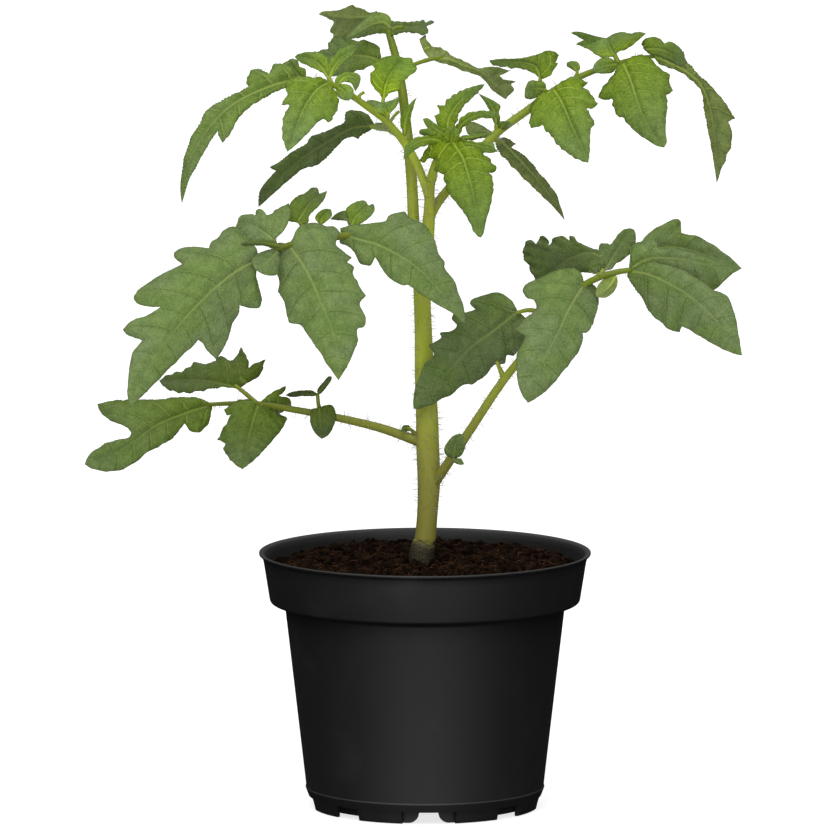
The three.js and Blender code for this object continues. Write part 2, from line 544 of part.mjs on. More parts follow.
        two: [-58, 204.6, -63, 205.2, -68.2, 210.4],
        lean: [0.35, -0.4],
      },
      { // upper, pointing up
        midrib: [-46, 212.8, -26.4, -43.4, 217, -22.5, -40, 221.2, -19, -35.1, 224.4, -16],
        one: [-49.4, 213.6, -49.6, 217, -48.3, 220.1, -45.4, 222.7, -43.5, 223.3, -40.6, 225.5,
          -38.8, 225.2, -38, 223.3],
        two: [-43.8, 211.9, -42, 213, -41.7, 215.2, -38.1, 218.9, -36.2, 221.4],
        lean: [0.3, -0.4],
      },
      { // small bright oval
        midrib: [-37.6, 211.8, -27.4, -36.8, 214.8, -25.4, -33.8, 217.6, -24],
        one: [-39.6, 214.4, -38.5, 216.4, -36, 217.8],
        two: [-35.5, 213.2, -33.5, 215.4],
        lean: [-0.3, -0.3],
      },
      { // small bright, turned up
        midrib: [-26.6, 210.4, -22.6, -24.8, 214.4, -19.5, -19.8, 218.6, -16],
        one: [-28.6, 213.6, -29, 216.3, -25.6, 218.8, -21.4, 220.5],
        two: [-21.6, 212.8, -18.6, 215, -18, 217.4],
        lean: [0.3, -0.5],
      },
      { // dark point behind it
        midrib: [-27.2, 212.6, -22, -30, 215, -19, -34.2, 214, -16.5],
        one: [-28.5, 217, -31.6, 216.2],
        two: [-28.6, 213.4, -31.6, 213.6],
        lean: [0.5, -0.5],
      },
      { // edge-on sliver over the terminal leaflet
        midrib: [-54, 202.6, -39.2, -60.6, 204.9, -44, -67, 204.8, -48],
        one: [-58, 205.6, -62, 205.8, -65.6, 205.5],
        two: [-58, 203.9, -62, 204.3, -65.6, 204.2],
        lean: [1.8, 1.8],
      },
      { // small grey leaflet between the two large ones
        midrib: [-53, 203.4, -38.8, -56.4, 200.4, -37.4, -61, 196.4, -36.4],
        one: [-55.8, 202.2, -60, 200.6, -62.4, 198.6],
        two: [-53.2, 196.4, -54.6, 193.9, -57.6, 193.8],
        lean: [0.3, 0.3],
      },
    ],
  },
  leaf_4: {
    finish: BRIGHT_GREEN,
    stalks: [
      [[1.6, 222.6, -2, 3.4], [0.2, 226, -2.8, 3.1], [-3.2, 234.6, -4.4, 3.1], [-6.6, 240.6, -5.6, 3],
        [-10.2, 245.4, -7, 2.8], [-14.4, 250, -8.6, 2.7], [-20.5, 254.6, -11, 2.5],
        [-26.5, 258.8, -13.4, 2.3], [-33, 262.6, -16, 2.1], [-41, 264.4, -20, 2], [-48.5, 264.4, -24, 1.8]],
      [[-10.2, 245, -7, 2], [-14, 246.8, -3, 1.8], [-19.5, 247.6, 2, 1.7]],
      [[-14.6, 250.2, -8.6, 1.6], [-15.2, 254, -7, 1.4], [-15, 258, -5.4, 1.3]],
      [[-14, 249.8, -8.6, 1.4], [-13.2, 251.4, -9.8, 1.3], [-13.8, 252.8, -10.4, 1.2]],
      [[-12.8, 248.6, -8, 1.2], [-11.6, 250.8, -4.5, 1.1], [-9.5, 253, -1, 1.1]],
      [[-33.4, 262.6, -16, 1.8], [-34.7, 265.4, -15.4, 1.6]],
      [[-23, 256.4, -12, 1.2], [-23.6, 258.8, -11.2, 1.1], [-22, 260, -10, 1.1]],
      [[-6.6, 240.6, -5.6, 2], [-7.4, 244, -6, 1.8]],
    ],
    leaflets: [
      { // terminal, long and drooping
        midrib: [-47, 264.5, -23, -54.4, 262.6, -26, -65.2, 258, -30, -73, 252.4, -33, -80, 244, -35.5,
          -84.6, 235.6, -37, -86.8, 228.4, -38, -87.7, 219.8, -38.5],
        one: [-47.4, 268, -50.4, 270.8, -52.7, 270.2, -54.4, 269.5, -55.8, 267, -58.9, 268.3,
          -61, 268.2, -63.3, 265.4, -64, 263.7, -63, 262.6, -67.2, 259.7, -75.1, 256, -78, 253.6,
          -82.6, 245.9, -84.9, 241.7, -87.2, 232.8, -88.1, 224.2],
        two: [-48.6, 262.4, -54.4, 259.5, -61.8, 255.3, -65.2, 252.8, -67.2, 250.1, -71, 243.8,
          -72.8, 241.6, -74.1, 244.2, -74.4, 245.9, -76.8, 243, -80.9, 235.5, -84.3, 229.6,
          -87, 222],
        lean: [0.7, -0.5],
      },
      { // bright, hanging in front
        midrib: [-34.9, 263.5, -16.4, -38.2, 261.6, -20, -41.9, 257.2, -26, -45.2, 250.5, -33, -49.4, 238.6, -42],
        one: [-39.8, 264.7, -44, 264.7, -49.8, 262.6, -49.6, 259.7, -51.8, 255.3, -48.6, 255.4,
          -50.6, 252, -51.4, 247.2, -51.1, 242.4],
        two: [-33.4, 262, -31.5, 258.6, -31.7, 254.3, -34, 249.8, -35.2, 249.6, -37.3, 250.1,
          -41.9, 245.5, -46.6, 240.8],
        lean: [0.3, 0.3],
      },
      { // V-shaped, pointing back
        midrib: [-34.7, 265, -15.6, -35, 269.6, -8, -35.2, 275.4, 1],
        one: [-38, 268, -42, 269.7, -46.6, 271.4, -48, 272.7, -44.1, 273, -41.5, 274.2, -38.4, 274.8],
        two: [-31.4, 268.3, -28.8, 270, -25.3, 274, -24.3, 275.5, -27, 276.4, -29.6, 276, -32.4, 274.6],
        lean: [-0.8, -0.8],
      },
      { // small, arching to the right
        midrib: [-31.5, 262, -15.6, -28.6, 265.6, -12.5, -24.6, 264.8, -11, -25, 260.4, -12],
        one: [-32.4, 264.4, -30.1, 266.7, -25.7, 267.2, -23.3, 265.8, -23.8, 262.4],
        two: [-29.6, 263.6, -26.8, 263.4],
        lean: [0.4, -0.4],
      },
      { // small, hanging right
        midrib: [-31.8, 262.2, -15.6, -29.4, 260.6, -18, -27.4, 257, -20.5],
        one: [-31.4, 258.6, -29.4, 257.2],
        two: [-29.6, 263, -26.4, 262, -25.7, 259],
        lean: [0.3, 0.3],
      },
      { // bright, upright
        midrib: [-15, 257.4, -5.6, -14.2, 262.4, -3.5, -12.2, 267, -1, -7.6, 272.6, 2],
        one: [-16.6, 259.6, -18.9, 262.5, -19.7, 266.6, -18.2, 268.2, -18.9, 270, -14.4, 272.9,
          -10.4, 273.3],
        two: [-13.4, 258.8, -12.4, 260, -9.7, 260.5, -8.6, 263, -6.4, 265.2, -2.8, 268.6,
          -4.2, 270.6, -4.8, 272.3],
        lean: [-0.3, -0.3],
      },
      { // small open V on the petiole
        midrib: [-14, 251.4, -10.2, -14.4, 254, -9, -15.2, 256.2, -7.6],
        one: [-17.4, 252.8, -21.9, 255.6, -20, 257.2, -17.4, 257],
        two: [-12.4, 252.6, -9.9, 255.5, -9, 258.1, -12.8, 256.9],
        lean: [-0.5, -0.5],
      },
      { // long and dark, behind
        midrib: [-18.4, 247.8, 1.6, -26, 247, 6, -36, 241.4, 12, -46, 234.8, 18, -55, 226, 23,
          -60.1, 218.4, 27],
        one: [-18.8, 249.6, -20.9, 252.2, -24.6, 253.4, -28.3, 252.6, -29, 249.3, -34.9, 246.2,
          -41, 243.8, -42.1, 242, -48.5, 237.8, -52.3, 235, -55.8, 232.8, -53.4, 231.6, -57.7, 227.1,
          -59.7, 222.9],
        two: [-20, 246, -22.2, 244.9, -24, 243, -25.7, 243.8, -28.3, 243.4, -31.5, 240.3,
          -36.1, 235.9, -38.6, 233.6, -43.6, 232.3, -50.2, 227.1, -57.7, 220.4],
        lean: [0.5, -0.5],
      },
      { // narrow, upright by the rear stem
        midrib: [-7.4, 243.4, -5.8, -7.2, 248.6, -7, -6, 253, -8, -2.9, 258.3, -9],
        one: [-8.1, 246.6, -8.9, 249.2, -6.9, 253.9, -5, 256.4],
        two: [-6, 247.6, -5.2, 251, -4.4, 254],
        lean: [0.6, 0.6],
      },
    ],
  },
  leaf_5: {
    finish: LEAF_GREEN,
    stalks: [
      [[-2, 200, 1.4, 4.4], [-3.7, 207, 3.2, 4.3], [-4.2, 216, 5, 4.2], [-4.8, 228, 9, 4],
        [-5.8, 240, 13.5, 3.8], [-7, 251, 18, 3.5], [-8.4, 262, 22.5, 3.3], [-10.2, 271.5, 26, 3],
        [-12.4, 279.5, 29, 2.6], [-14.4, 285.6, 31.5, 2.3], [-18.4, 288.4, 34, 1.9]],
      [[-13, 281.4, 29.6, 2], [-11.4, 283, 31.5, 1.7], [-8, 283.6, 34.5, 1.5]],
      [[-10, 271, 26, 1.8], [-13, 270.2, 27.5, 1.5], [-17.6, 271.6, 29, 1.4]],
      [[-9.4, 267.6, 24.6, 1.8], [-4.2, 270, 27.5, 1.5], [2, 272, 31, 1.6], [6, 272.6, 34, 1.5]],
    ],
    leaflets: [
      { // terminal, hanging behind, underside showing
        midrib: [-17, 287.6, 33, -21.5, 287.6, 38, -27, 287.2, 44, -32.4, 287.8, 50, -38, 288.5, 56],
        one: [-17.6, 289.3, -20.4, 288.9, -23.5, 290.5, -26, 291.4, -27.9, 291.1, -30.1, 290,
          -33.2, 289.5, -36.7, 289.3],
        two: [-17.6, 284.6, -20.4, 281.6, -25.4, 279.4, -30.5, 279.2, -32.5, 279.8, -33.9, 282.8,
          -32.9, 285.1, -34.1, 286.4, -36.7, 287.7],
        lean: [-0.4, 0.7],
      },
      { // its folded front half
        midrib: [-14.6, 285.4, 31.4, -19.4, 284.4, 28.5, -23.6, 281.8, 26.5, -28.2, 279.5, 25],
        one: [-16, 288.2, -18.6, 289, -22.2, 285.9, -25.7, 282.6],
        two: [-13.8, 281.2, -16.5, 281.4, -19.6, 280.8, -24.6, 279.6],
        lean: [0.5, 0.9],
      },
      { // right, edge-on
        midrib: [-12, 283.4, 31, -8, 283.6, 34.5, -3, 283.7, 39, 3.4, 285.6, 44],
        one: [-13, 285.6, -10.4, 285.6, -6, 285.4, -1.6, 285.9, -0.2, 286.1, 0.2, 285.3, 2.3, 286.1],
        two: [-12.4, 280.6, -10.6, 280.7, -8.2, 281.6, -2.9, 281.3, -0.3, 280.8, 1.2, 281.8,
          0.6, 283.9, 2.8, 285],
        lean: [1.2, -1.2],
      },
      { // dark, behind the bright V
        midrib: [-15.6, 271.2, 28.6, -21, 273, 31, -28, 273.4, 34, -35, 272.6, 37, -42, 272, 40],
        one: [-16, 274.4, -16.7, 276.6, -20.9, 278.7, -24.4, 278.7, -32.7, 279.6, -34.5, 278,
          -34.9, 276, -38.4, 274.9],
        two: [-18.7, 269.8, -25.7, 267.4, -29.6, 266.9, -33.1, 265.6, -38, 268],
        lean: [0.5, -0.5],
      },
      { // right, arching over and down
        midrib: [2, 271.9, 31, 8, 272, 35, 14, 269.6, 39, 20, 267.4, 43, 25, 262.6, 47, 28.8, 257.5, 51],
        one: [-0.2, 274.4, -2.2, 279.6, 0.2, 281, 0.8, 278.6, 3.9, 276.2, 5.9, 276.4, 7, 275.2,
          10.7, 272.8, 15, 271, 18.9, 268.8, 24, 269.3, 31.2, 267.8, 26.8, 266, 27.6, 265,
          32.9, 264, 31.2, 262.8, 31.8, 261.2],
        two: [5.3, 270.8, 9.2, 269.8, 13.1, 268.1, 19.4, 265.9, 21.3, 264.5, 24.2, 260.8],
        lean: [0.7, -0.4],
      },
    ],
  },
  leaf_6: {
    finish: BRIGHT_GREEN,
    stalks: [
      [[1.4, 214.4, -1.2, 3.6], [4.2, 219.4, 1, 3.4], [8.6, 225.2, 4.5, 3.3], [17, 235.6, 11, 3.2],
        [26, 245.4, 17, 3.1], [37, 253.6, 22, 2.9], [46, 260.4, 26, 2.6], [55, 265.3, 28.5, 2.3],
        [62, 268.2, 30.5, 2.1], [71.5, 271, 32.5, 1.9], [82, 273, 34.5, 1.8], [86.5, 271.6, 35.4, 1.6]],
      [[25.4, 244.8, 16.6, 2], [24.8, 243.4, 20, 1.8], [27, 241.6, 24, 1.5]],
      [[42, 257.4, 24.2, 1.8], [41.6, 261, 25.4, 1.6], [41.4, 265, 26.6, 1.4]],
      [[44.6, 259.4, 25.4, 1.6], [42.6, 261.2, 23.5, 1.4]],
      [[54.4, 265, 28.4, 1.2], [54.8, 267.6, 29, 1.1]],
      [[69.5, 270.5, 32, 1.8], [68.2, 273.6, 33, 1.6]],
      [[26, 245.6, 17, 1.8], [25.6, 248.4, 17, 1.5]],
    ],
    leaflets: [
      { // terminal, arched over
        midrib: [82, 273.2, 34.4, 86.6, 271.2, 35.4, 93, 268, 37, 99, 262.6, 39.5, 102.4, 254, 42.5,
          104.2, 242, 45.5, 104.9, 227.4, 48],
        one: [79.6, 274.6, 77.5, 277.5, 78.8, 279.2, 81, 276.5, 82.7, 279.9, 85, 279.1, 86.8, 275.4,
          89.2, 277.8, 91.2, 276.8, 92.8, 274.4, 95.1, 270.2, 98.5, 266.6, 105.8, 259.3,
          108.9, 254.6, 111.8, 250.4, 109.1, 249.4, 110.7, 243.6, 109.9, 239.9, 107.8, 234.7],
        two: [84.4, 270.4, 91.8, 267.4, 95.4, 264.8, 99.4, 260.4, 100.3, 255.1, 101.4, 248.8,
          102.9, 241, 104, 234.2],
        lean: [0.7, -0.5],
      },
      { // right, hanging
        midrib: [71.3, 270.6, 32, 74, 266, 28, 76.4, 260, 24, 79, 252, 19, 82.4, 245.4, 15, 86, 240, 12],
        one: [69.8, 270, 65.3, 263.4, 62.4, 258.7, 63.2, 257.4, 67.2, 257.7, 67.9, 254.6, 70, 250.6,
          71.3, 250.6, 73.6, 247.8, 79.8, 242.8, 84.4, 240],
        two: [75, 271.6, 80.9, 269.2, 87.9, 265.8, 87.6, 264.2, 88.8, 260.2, 86.6, 259.2, 86.8, 255.1,
          86.3, 245.7],
        lean: [0.3, 0.3],
      },
      { // middle, hanging
        midrib: [46.4, 260.8, 25.6, 48.2, 258.2, 23, 50.3, 254, 20, 52.9, 247.8, 15, 56, 241, 10,
          58.7, 234.6, 6],
        one: [44.6, 259.8, 41.5, 259.3, 38.1, 255.1, 37.6, 248.3, 38.6, 247.1, 42.2, 248.3,
          43.5, 245.9, 45.3, 244.6, 47.2, 241.5, 53.4, 236.3],
        two: [49.2, 264.2, 54.4, 265.8, 58.6, 263.4, 55.7, 262, 60.1, 258.2, 62.2, 255.7, 57.8, 254,
          60.9, 248.8, 59.6, 246.7, 59.2, 238.4],
        lean: [0.3, 0.3],
      },
      { // V-shaped, pointing back
        midrib: [68.2, 273, 33, 66.6, 276, 39, 65.2, 279.6, 46],
        one: [63.6, 272.6, 58.4, 275.8, 54.2, 277.4, 57, 279, 52.3, 281.6, 54.9, 282, 61.7, 280.3],
        two: [69.4, 274.4, 73.1, 276, 77.2, 279.4, 79.5, 281.2, 76.7, 281.8, 74.1, 281.2, 71, 281.8,
          67.9, 281.2],
        lean: [-0.8, -0.8],
      },
      { // bright, folded, pointing left
        midrib: [41.5, 264.6, 26.5, 40, 269, 28.5, 36, 270.8, 32, 30, 271, 37, 23, 271.6, 42],
        one: [39.7, 266.4, 34.8, 268.6, 31, 268.9, 24, 270.2],
        two: [45.2, 266, 46.2, 268.2, 48.1, 270.6, 46.6, 270.8, 48.5, 273.4, 46.9, 274.4, 44.5, 275.2,
          40.2, 273.7, 34.4, 272.4, 27.6, 272.1],
        lean: [0.5, -0.4],
      },
      { // small bright, in front of the rachis
        midrib: [43.6, 260.9, 24.2, 40.4, 261.4, 21.5, 36, 261.2, 18.5],
        one: [43, 263.4, 40.2, 264.2, 37.3, 264],
        two: [41.6, 259.6, 38.7, 257.6, 36, 258],
        lean: [0.3, 0.3],
      },
      { // tiny, upright on a stalk
        midrib: [54.8, 267, 28.8, 53.4, 269.4, 29.6, 51, 270.8, 30.6],
        one: [55.8, 269, 54.9, 270.9, 52.6, 271.3],
        two: [52.4, 268.6, 51, 269.6],
        lean: [0.3, 0.3],
      },
      { // grey-green, long, hanging behind
        midrib: [26.4, 243.2, 22.6, 31, 238.6, 27, 36.6, 232.6, 32, 42.6, 225.4, 37, 47, 219.4, 41,
          50.1, 213.8, 44],
        one: [29, 243.6, 32.9, 241.3, 31.2, 240, 36.4, 236.7, 40.8, 231.4, 47, 223.7, 49.1, 217.7],
        two: [25.6, 240.6, 29.9, 235, 38.6, 226, 46.1, 218.6],
        lean: [0.6, -0.6],
      },
      { // its left neighbour
        midrib: [25, 243.6, 20, 20, 245.6, 21, 13.8, 246.2, 23],
        one: [22.6, 246.8, 19, 248.5, 15.4, 247.6],
        two: [21, 244.6, 17, 245],
        lean: [0.8, -0.8],
      },
      { // narrow, rising from the node
        midrib: [25.6, 247.6, 17, 25.2, 252, 16, 23.4, 256, 15.4, 18.9, 259.8, 15],
        one: [24.4, 250, 23.2, 253.5, 21.4, 256.6],
        two: [27, 250, 26.6, 252.6, 27, 255.2, 24.2, 257.2],
        lean: [0.4, 0.4],
      },
      { // small bright at the node
        midrib: [27, 246.4, 16.6, 28.4, 248.4, 14, 30.4, 249.4, 12],
        one: [26.4, 249.2, 28.4, 249.6],
        two: [29, 246.6, 31.4, 248],
        lean: [0.4, 0.4],
      },
      { // left oval under the V
        midrib: [69.6, 270.2, 31.6, 65, 269.6, 28, 60.1, 267.6, 25],
        one: [66.6, 272.3, 63.2, 272.2, 61, 270.4],
        two: [67.4, 267.3, 63.2, 266.8],
        lean: [0.3, 0.3],
      },
    ],
  },
  shoot_tip: {
    finish: BRIGHT_GREEN,
    stalks: [
      [[2.3, 228.4, -4.3, 3.2], [3.2, 232, -6.6, 3.2], [4.8, 236, -9, 3.4], [8, 241.4, -12, 3.6],
        [9.2, 245.4, -13, 3]],
    ],
    leaflets: [
      { // large, hanging in front
        midrib: [9.4, 242, -13, 11.9, 239.4, -17, 14.1, 236.3, -20, 15.8, 231.4, -23.5, 17.1, 225.7, -27,
          18.5, 219.5, -30.5, 20.2, 207.4, -36],
        one: [5.6, 242.2, 0.5, 239.8, -1.7, 235.2, -0.6, 234.7, 3.5, 236, 3.4, 231.4, 6.4, 230.8,
          7.5, 225.7, 8.4, 223.5, 14.9, 215.1, 19.3, 207.8],
        two: [13.5, 240.8, 16.3, 239.4, 21.1, 237.6, 25, 233.6, 25.7, 231.4, 23, 231.2, 24.6, 225.2,
          23.5, 218.6, 21.5, 211.1],
        lean: [0.35, 0.35],
      },
      { // right arm
        midrib: [9.6, 242.4, -13, 15, 241.4, -16, 20.6, 240.4, -18.5, 26.5, 238.6, -21],
        one: [13.6, 243, 18, 242, 24.6, 241.6, 25.2, 239.8],
        two: [14.5, 239.4, 18.9, 238.6, 23.3, 238],
        lean: [0.3, 0.3],
      },
      { // thin right arm, edge-on
        midrib: [9.8, 243.2, -13, 17, 243.6, -15, 25.2, 245.2, -17],
        one: [13, 244, 19, 245],
        two: [14, 242.6, 20, 243.4],
        lean: [1.6, 1.6],
      },
      { // upper, tall
        midrib: [9, 245, -13, 9.4, 250, -11, 12.6, 255.4, -8.5, 17, 259.6, -6.5, 22, 262.4, -5],
        one: [6.4, 248, 3.6, 251.2, 4.8, 252, 4.9, 255.3, 6.8, 255.5, 8.4, 257, 14.5, 261, 20.6, 262.8],
        two: [11.2, 249.6, 12.3, 252.4, 15.8, 255.9, 20, 260.8],
        lean: [0.4, 0.4],
      },
      { // right, arching
        midrib: [9.6, 244.2, -13, 12.6, 247.4, -15, 17, 250.4, -17.5, 22, 251.6, -20, 26.8, 250.8, -22],
        one: [10.6, 247.6, 13.6, 250, 16.3, 251.5, 19.8, 252.6, 25, 252.2],
        two: [12.3, 245.4, 14.5, 247.8, 17.1, 249.1, 21.1, 250],
        lean: [0.4, 0.4],
      },
      { // left, upper lobes
        midrib: [8.6, 243.4, -12.6, 4.6, 246.4, -13.5, -0.8, 250.3, -14],
        one: [7.6, 246.6, 4.4, 248, 2.7, 249.2, 0.5, 250.4],
        two: [5.4, 243.6, 0.9, 244.7, -2.2, 245.8, 0.6, 246.4, -0.6, 248.4],
        lean: [0.3, 0.3],
      },
      { // left, low, curling down
        midrib: [7.6, 241.8, -12.4, 1.6, 243, -15, -4.4, 241, -17, -7.8, 236, -18.5],
        one: [4.6, 243.8, -1.7, 244, -4.8, 242.7, -7, 240.3],
        two: [2.7, 241.5, -0.4, 240.6, -3.5, 239.3, -6.4, 236.8],
        lean: [0.4, 0.4],
      },
    ],
  },
};

// ---- the plant ------------------------------------------------------------------------------

const leafSolid = ({ stalks, leaflets }) => joined([
  ...stalks.map((stations) => stalk(stations, stations.length > 4 ? PETIOLE : PETIOLULE)),
  ...leaflets.map(leaflet),
]);

const plant = new THREE.Group();
const stemSolid = stalk(MAIN_STEM, MAIN);
const stemRoom = stalk(MAIN_STEM, { ...MAIN, grow: STEM_GAP });

plant.add(meshOf('pot', potSolid(), BLACK));
plant.add(meshOf('soil', soilSolid(stemRoom), EARTH));
plant.add(meshOf('stem', stemSolid, STEM_GREEN));
for (const [name, leaf] of Object.entries(LEAVES)) {
  plant.add(meshOf(name, leafSolid(leaf).subtract(stemRoom), leaf.finish));
}

export default plant;
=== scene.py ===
"""A young tomato plant in a round nursery pot.

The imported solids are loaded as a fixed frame. Each one is replaced by a finer piece of the same
form: moulded plastic, fibrous peat, a hairy stem, and leaves whose blades have veins, lobes and
quilted tissue. Sizes are in millimetres until a mesh is made.
"""

from __future__ import annotations

import logging
import math
from dataclasses import dataclass
from enum import Enum

import bpy
import numpy as np
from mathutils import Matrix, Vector
from mathutils.geometry import delaunay_2d_cdt

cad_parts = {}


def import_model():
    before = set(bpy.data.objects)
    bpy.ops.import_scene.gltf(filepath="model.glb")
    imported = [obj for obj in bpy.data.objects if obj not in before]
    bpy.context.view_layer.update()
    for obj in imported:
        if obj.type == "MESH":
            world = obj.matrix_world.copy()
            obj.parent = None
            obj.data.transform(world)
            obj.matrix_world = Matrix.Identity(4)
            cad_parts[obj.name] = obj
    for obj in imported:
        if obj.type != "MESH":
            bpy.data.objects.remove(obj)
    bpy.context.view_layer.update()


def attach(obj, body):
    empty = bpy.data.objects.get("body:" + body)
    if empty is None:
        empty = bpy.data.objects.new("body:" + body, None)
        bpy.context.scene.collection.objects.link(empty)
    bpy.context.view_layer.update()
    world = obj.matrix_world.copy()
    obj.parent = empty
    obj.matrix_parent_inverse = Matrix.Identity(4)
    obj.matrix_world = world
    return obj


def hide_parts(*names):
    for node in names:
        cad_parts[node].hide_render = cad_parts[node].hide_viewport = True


LOG = logging.getLogger("tomato_plant")
MM = 0.001
TINY = 1e-9
BODY = "root"

Span = tuple[float, float]
Triple = tuple[float, float, float]
Colour = Triple
Station = tuple[float, float, float, float]
Faces = list[tuple[int, ...]]
Socket = bpy.types.NodeSocket


class Face(Enum):
    """The face of a blade that is turned to the front."""

    UPPER = 1
    UNDER = -1


class Slot(Enum):
    """The material slots, by name."""

    PLASTIC = "black_plastic"
    PEAT = "peat"
    STEM = "stem_green"
    LEAF = "leaf_green"
    YOUNG = "young_leaf"


@dataclass(frozen=True)
class Leaflet:
    """One blade of a compound leaf, drawn in the elevation.

    `midrib` runs from base to tip as across, up, back triples. `one` and `two` are its edges from
    base to tip as across, up pairs, without the base and the tip. `lean` says how far each half
    falls back for each millimetre away from the midrib. `youth` runs from 0, full grown, to 1,
    just unfolding, `tone` darkens or lightens its green, and `wave` is how far its margin rises and
    falls in mm. The tone is partly the blade's own green and partly painted shade and light: blades
    that lie behind others or edge-on are darkened as if in shade, and some others are lightened.
    """

    midrib: tuple[float, ...]
    one: tuple[float, ...]
    two: tuple[float, ...]
    lean: tuple[float, float]
    youth: float | None = None
    tone: float | None = None
    wave: float = 0.7
    shows: Face = Face.UPPER


@dataclass(frozen=True)
class LeafPlan:
    """A compound leaf: its stalks as lists of (across, up, back, diameter), and its leaflets.

    Its youth and tone hold for every leaflet that states none of its own. `pucker` says how deeply
    the tissue is quilted, and `teeth` how far, in mm, the fine teeth of the margins stand out.
    """

    name: str
    youth: float
    tone: float
    stalk_tone: float
    pucker: float
    teeth: float
    slot: Slot
    stalks: tuple[tuple[Station, ...], ...]
    leaflets: tuple[Leaflet, ...]


MAIN_STEM: tuple[Station, ...] = (
    (-1.6, 67.6, 0, 7.6), (-1.4, 84, 0, 9.0), (-1.3, 89, 0, 9.3), (-1.1, 92, 0, 9.2), (-0.4, 95.8, 0, 8.5),
    (-0.1, 96.7, 0, 7.5), (0.1, 97.6, 0, 7.8), (0.3, 99.5, 0, 7.6), (1.0, 109, 0, 7.5), (1.4, 119, 0, 8.2),
    (1.0, 131, 0, 8.3), (0.7, 143, 0, 8.0), (-0.1, 158, 0, 7.2), (-0.6, 173, 0, 6.3), (-1.0, 186, 0, 6.2),
    (-0.9, 197, 0, 6.8), (0.6, 206, -0.5, 5.2), (1.4, 214, -1.2, 4.4), (1.6, 220, -1.8, 3.8),
    (1.8, 225, -2.8, 3.4), (2.5, 229.5, -4.8, 3.2),
)

LEAF_1_LEAFLETS = (
    Leaflet(  # terminal, forked
        midrib=(-76.6, 146.6, 20, -86, 143.6, 17, -97, 139, 14, -105, 133.2, 11, -112.5, 128.4, 9,
            -122.9, 124.9, 8),
        one=(-80.1, 148.3, -86.3, 149.4, -95.1, 148.6, -105.1, 148.1, -113.8, 147.9, -118.2, 146.7,
            -117.3, 144.2, -113.5, 140.6, -108.2, 138.5, -106, 136.3, -106.9, 134.7, -114.4, 132.8,
            -118.2, 130.6, -121.6, 127.8),
        two=(-77.3, 142.9, -77.9, 140.1, -79.4, 138.2, -81.9, 136.2, -84.4, 136.9, -86.9, 139.6,
            -88.8, 137, -91.9, 133.8, -96.9, 130.9, -101.3, 128.4, -104.4, 125.6, -110.1, 122.7,
            -115.1, 122.2, -120.4, 123.3),
        lean=(0.45, -0.35),
    ),
    Leaflet(  # rear, seen half from the side
        midrib=(-66.8, 152.6, 22, -71.3, 153.7, 25, -79, 155.2, 30, -88.8, 155.4, 36, -96, 155.4, 42),
        one=(-63.8, 154.6, -60.1, 156.8, -58.8, 159.3, -57.7, 162.8, -61.3, 161.5, -63.5, 159.9,
            -64.2, 163.6, -66.2, 167.3, -68, 164.4, -69.2, 162.4, -74.1, 163.8, -77.3, 161.5,
            -83.2, 161.7, -86.3, 159.3, -93.2, 157.1),
        two=(-72.6, 153, -80.1, 151.7, -86.3, 150.8, -92.6, 152, -94.6, 153.4),
        lean=(0.9, -1.2), tone=0.56,
    ),
    Leaflet(  # front, hanging
        midrib=(-60, 147, 16.5, -61.6, 142.3, 13, -63.2, 136.6, 9, -64.4, 130.9, 5, -65.8, 123.1, 0),
        one=(-63.8, 148.5, -68.5, 147.6, -72.6, 144.5, -71.2, 142.8, -69.8, 142.8, -72.1, 139.1,
            -74.9, 133.8, -71.9, 132.5, -72.6, 130.3, -71.3, 127.8, -68.8, 124.9),
        two=(-57.2, 149.6, -53.8, 151.8, -50.4, 153.3, -50.6, 151.4, -53, 149.9, -48.8, 148.6,
            -48.4, 145.3, -52.6, 143.4, -49.8, 141.2, -51.9, 137.2, -55.7, 132.8, -60.7, 127.2),
        lean=(0.3, 0.25), tone=0.9,
    ),
    Leaflet(  # small oval
        midrib=(-38.2, 145.2, 8, -37.8, 140, 5, -37.3, 134.1, 3),
        one=(-40.4, 145.1, -41.5, 142, -40.7, 137.9, -38.8, 135.3),
        two=(-36.3, 146.3, -33.5, 146.3, -32.1, 142.4, -33.2, 138.2, -35.1, 135.3),
        lean=(0.3, 0.3), tone=0.6,
    ),
    Leaflet(  # edge-on, left arm
        midrib=(-38.6, 150, 9.5, -43.8, 150.7, 12, -50.2, 149.9, 16),
        one=(-40.4, 151.6, -44, 151.7, -48.4, 151),
        two=(-40.4, 149.7, -44, 149.8, -48.2, 149.4),
        lean=(-2.4, 2.2), tone=0.55,
    ),
    Leaflet(  # edge-on, right arm
        midrib=(-38.8, 150.2, 9.5, -36.6, 153.2, 8, -33.7, 156.8, 7),
        one=(-38.6, 152.2, -36.8, 154.5, -34.6, 156.9),
        two=(-37.4, 150.8, -35.6, 153, -34, 155.3),
        lean=(1.8, -1.8), tone=0.55,
    ),
    Leaflet(  # tiny curl at the axil
        midrib=(-5.6, 137.6, -1, -7.4, 138.2, -2, -8.8, 136.8, -3.4),
        one=(-5.6, 138.9, -7.8, 139),
        two=(-6.2, 136.9, -7.6, 136.8),
        lean=(0, 0),
    ),
)

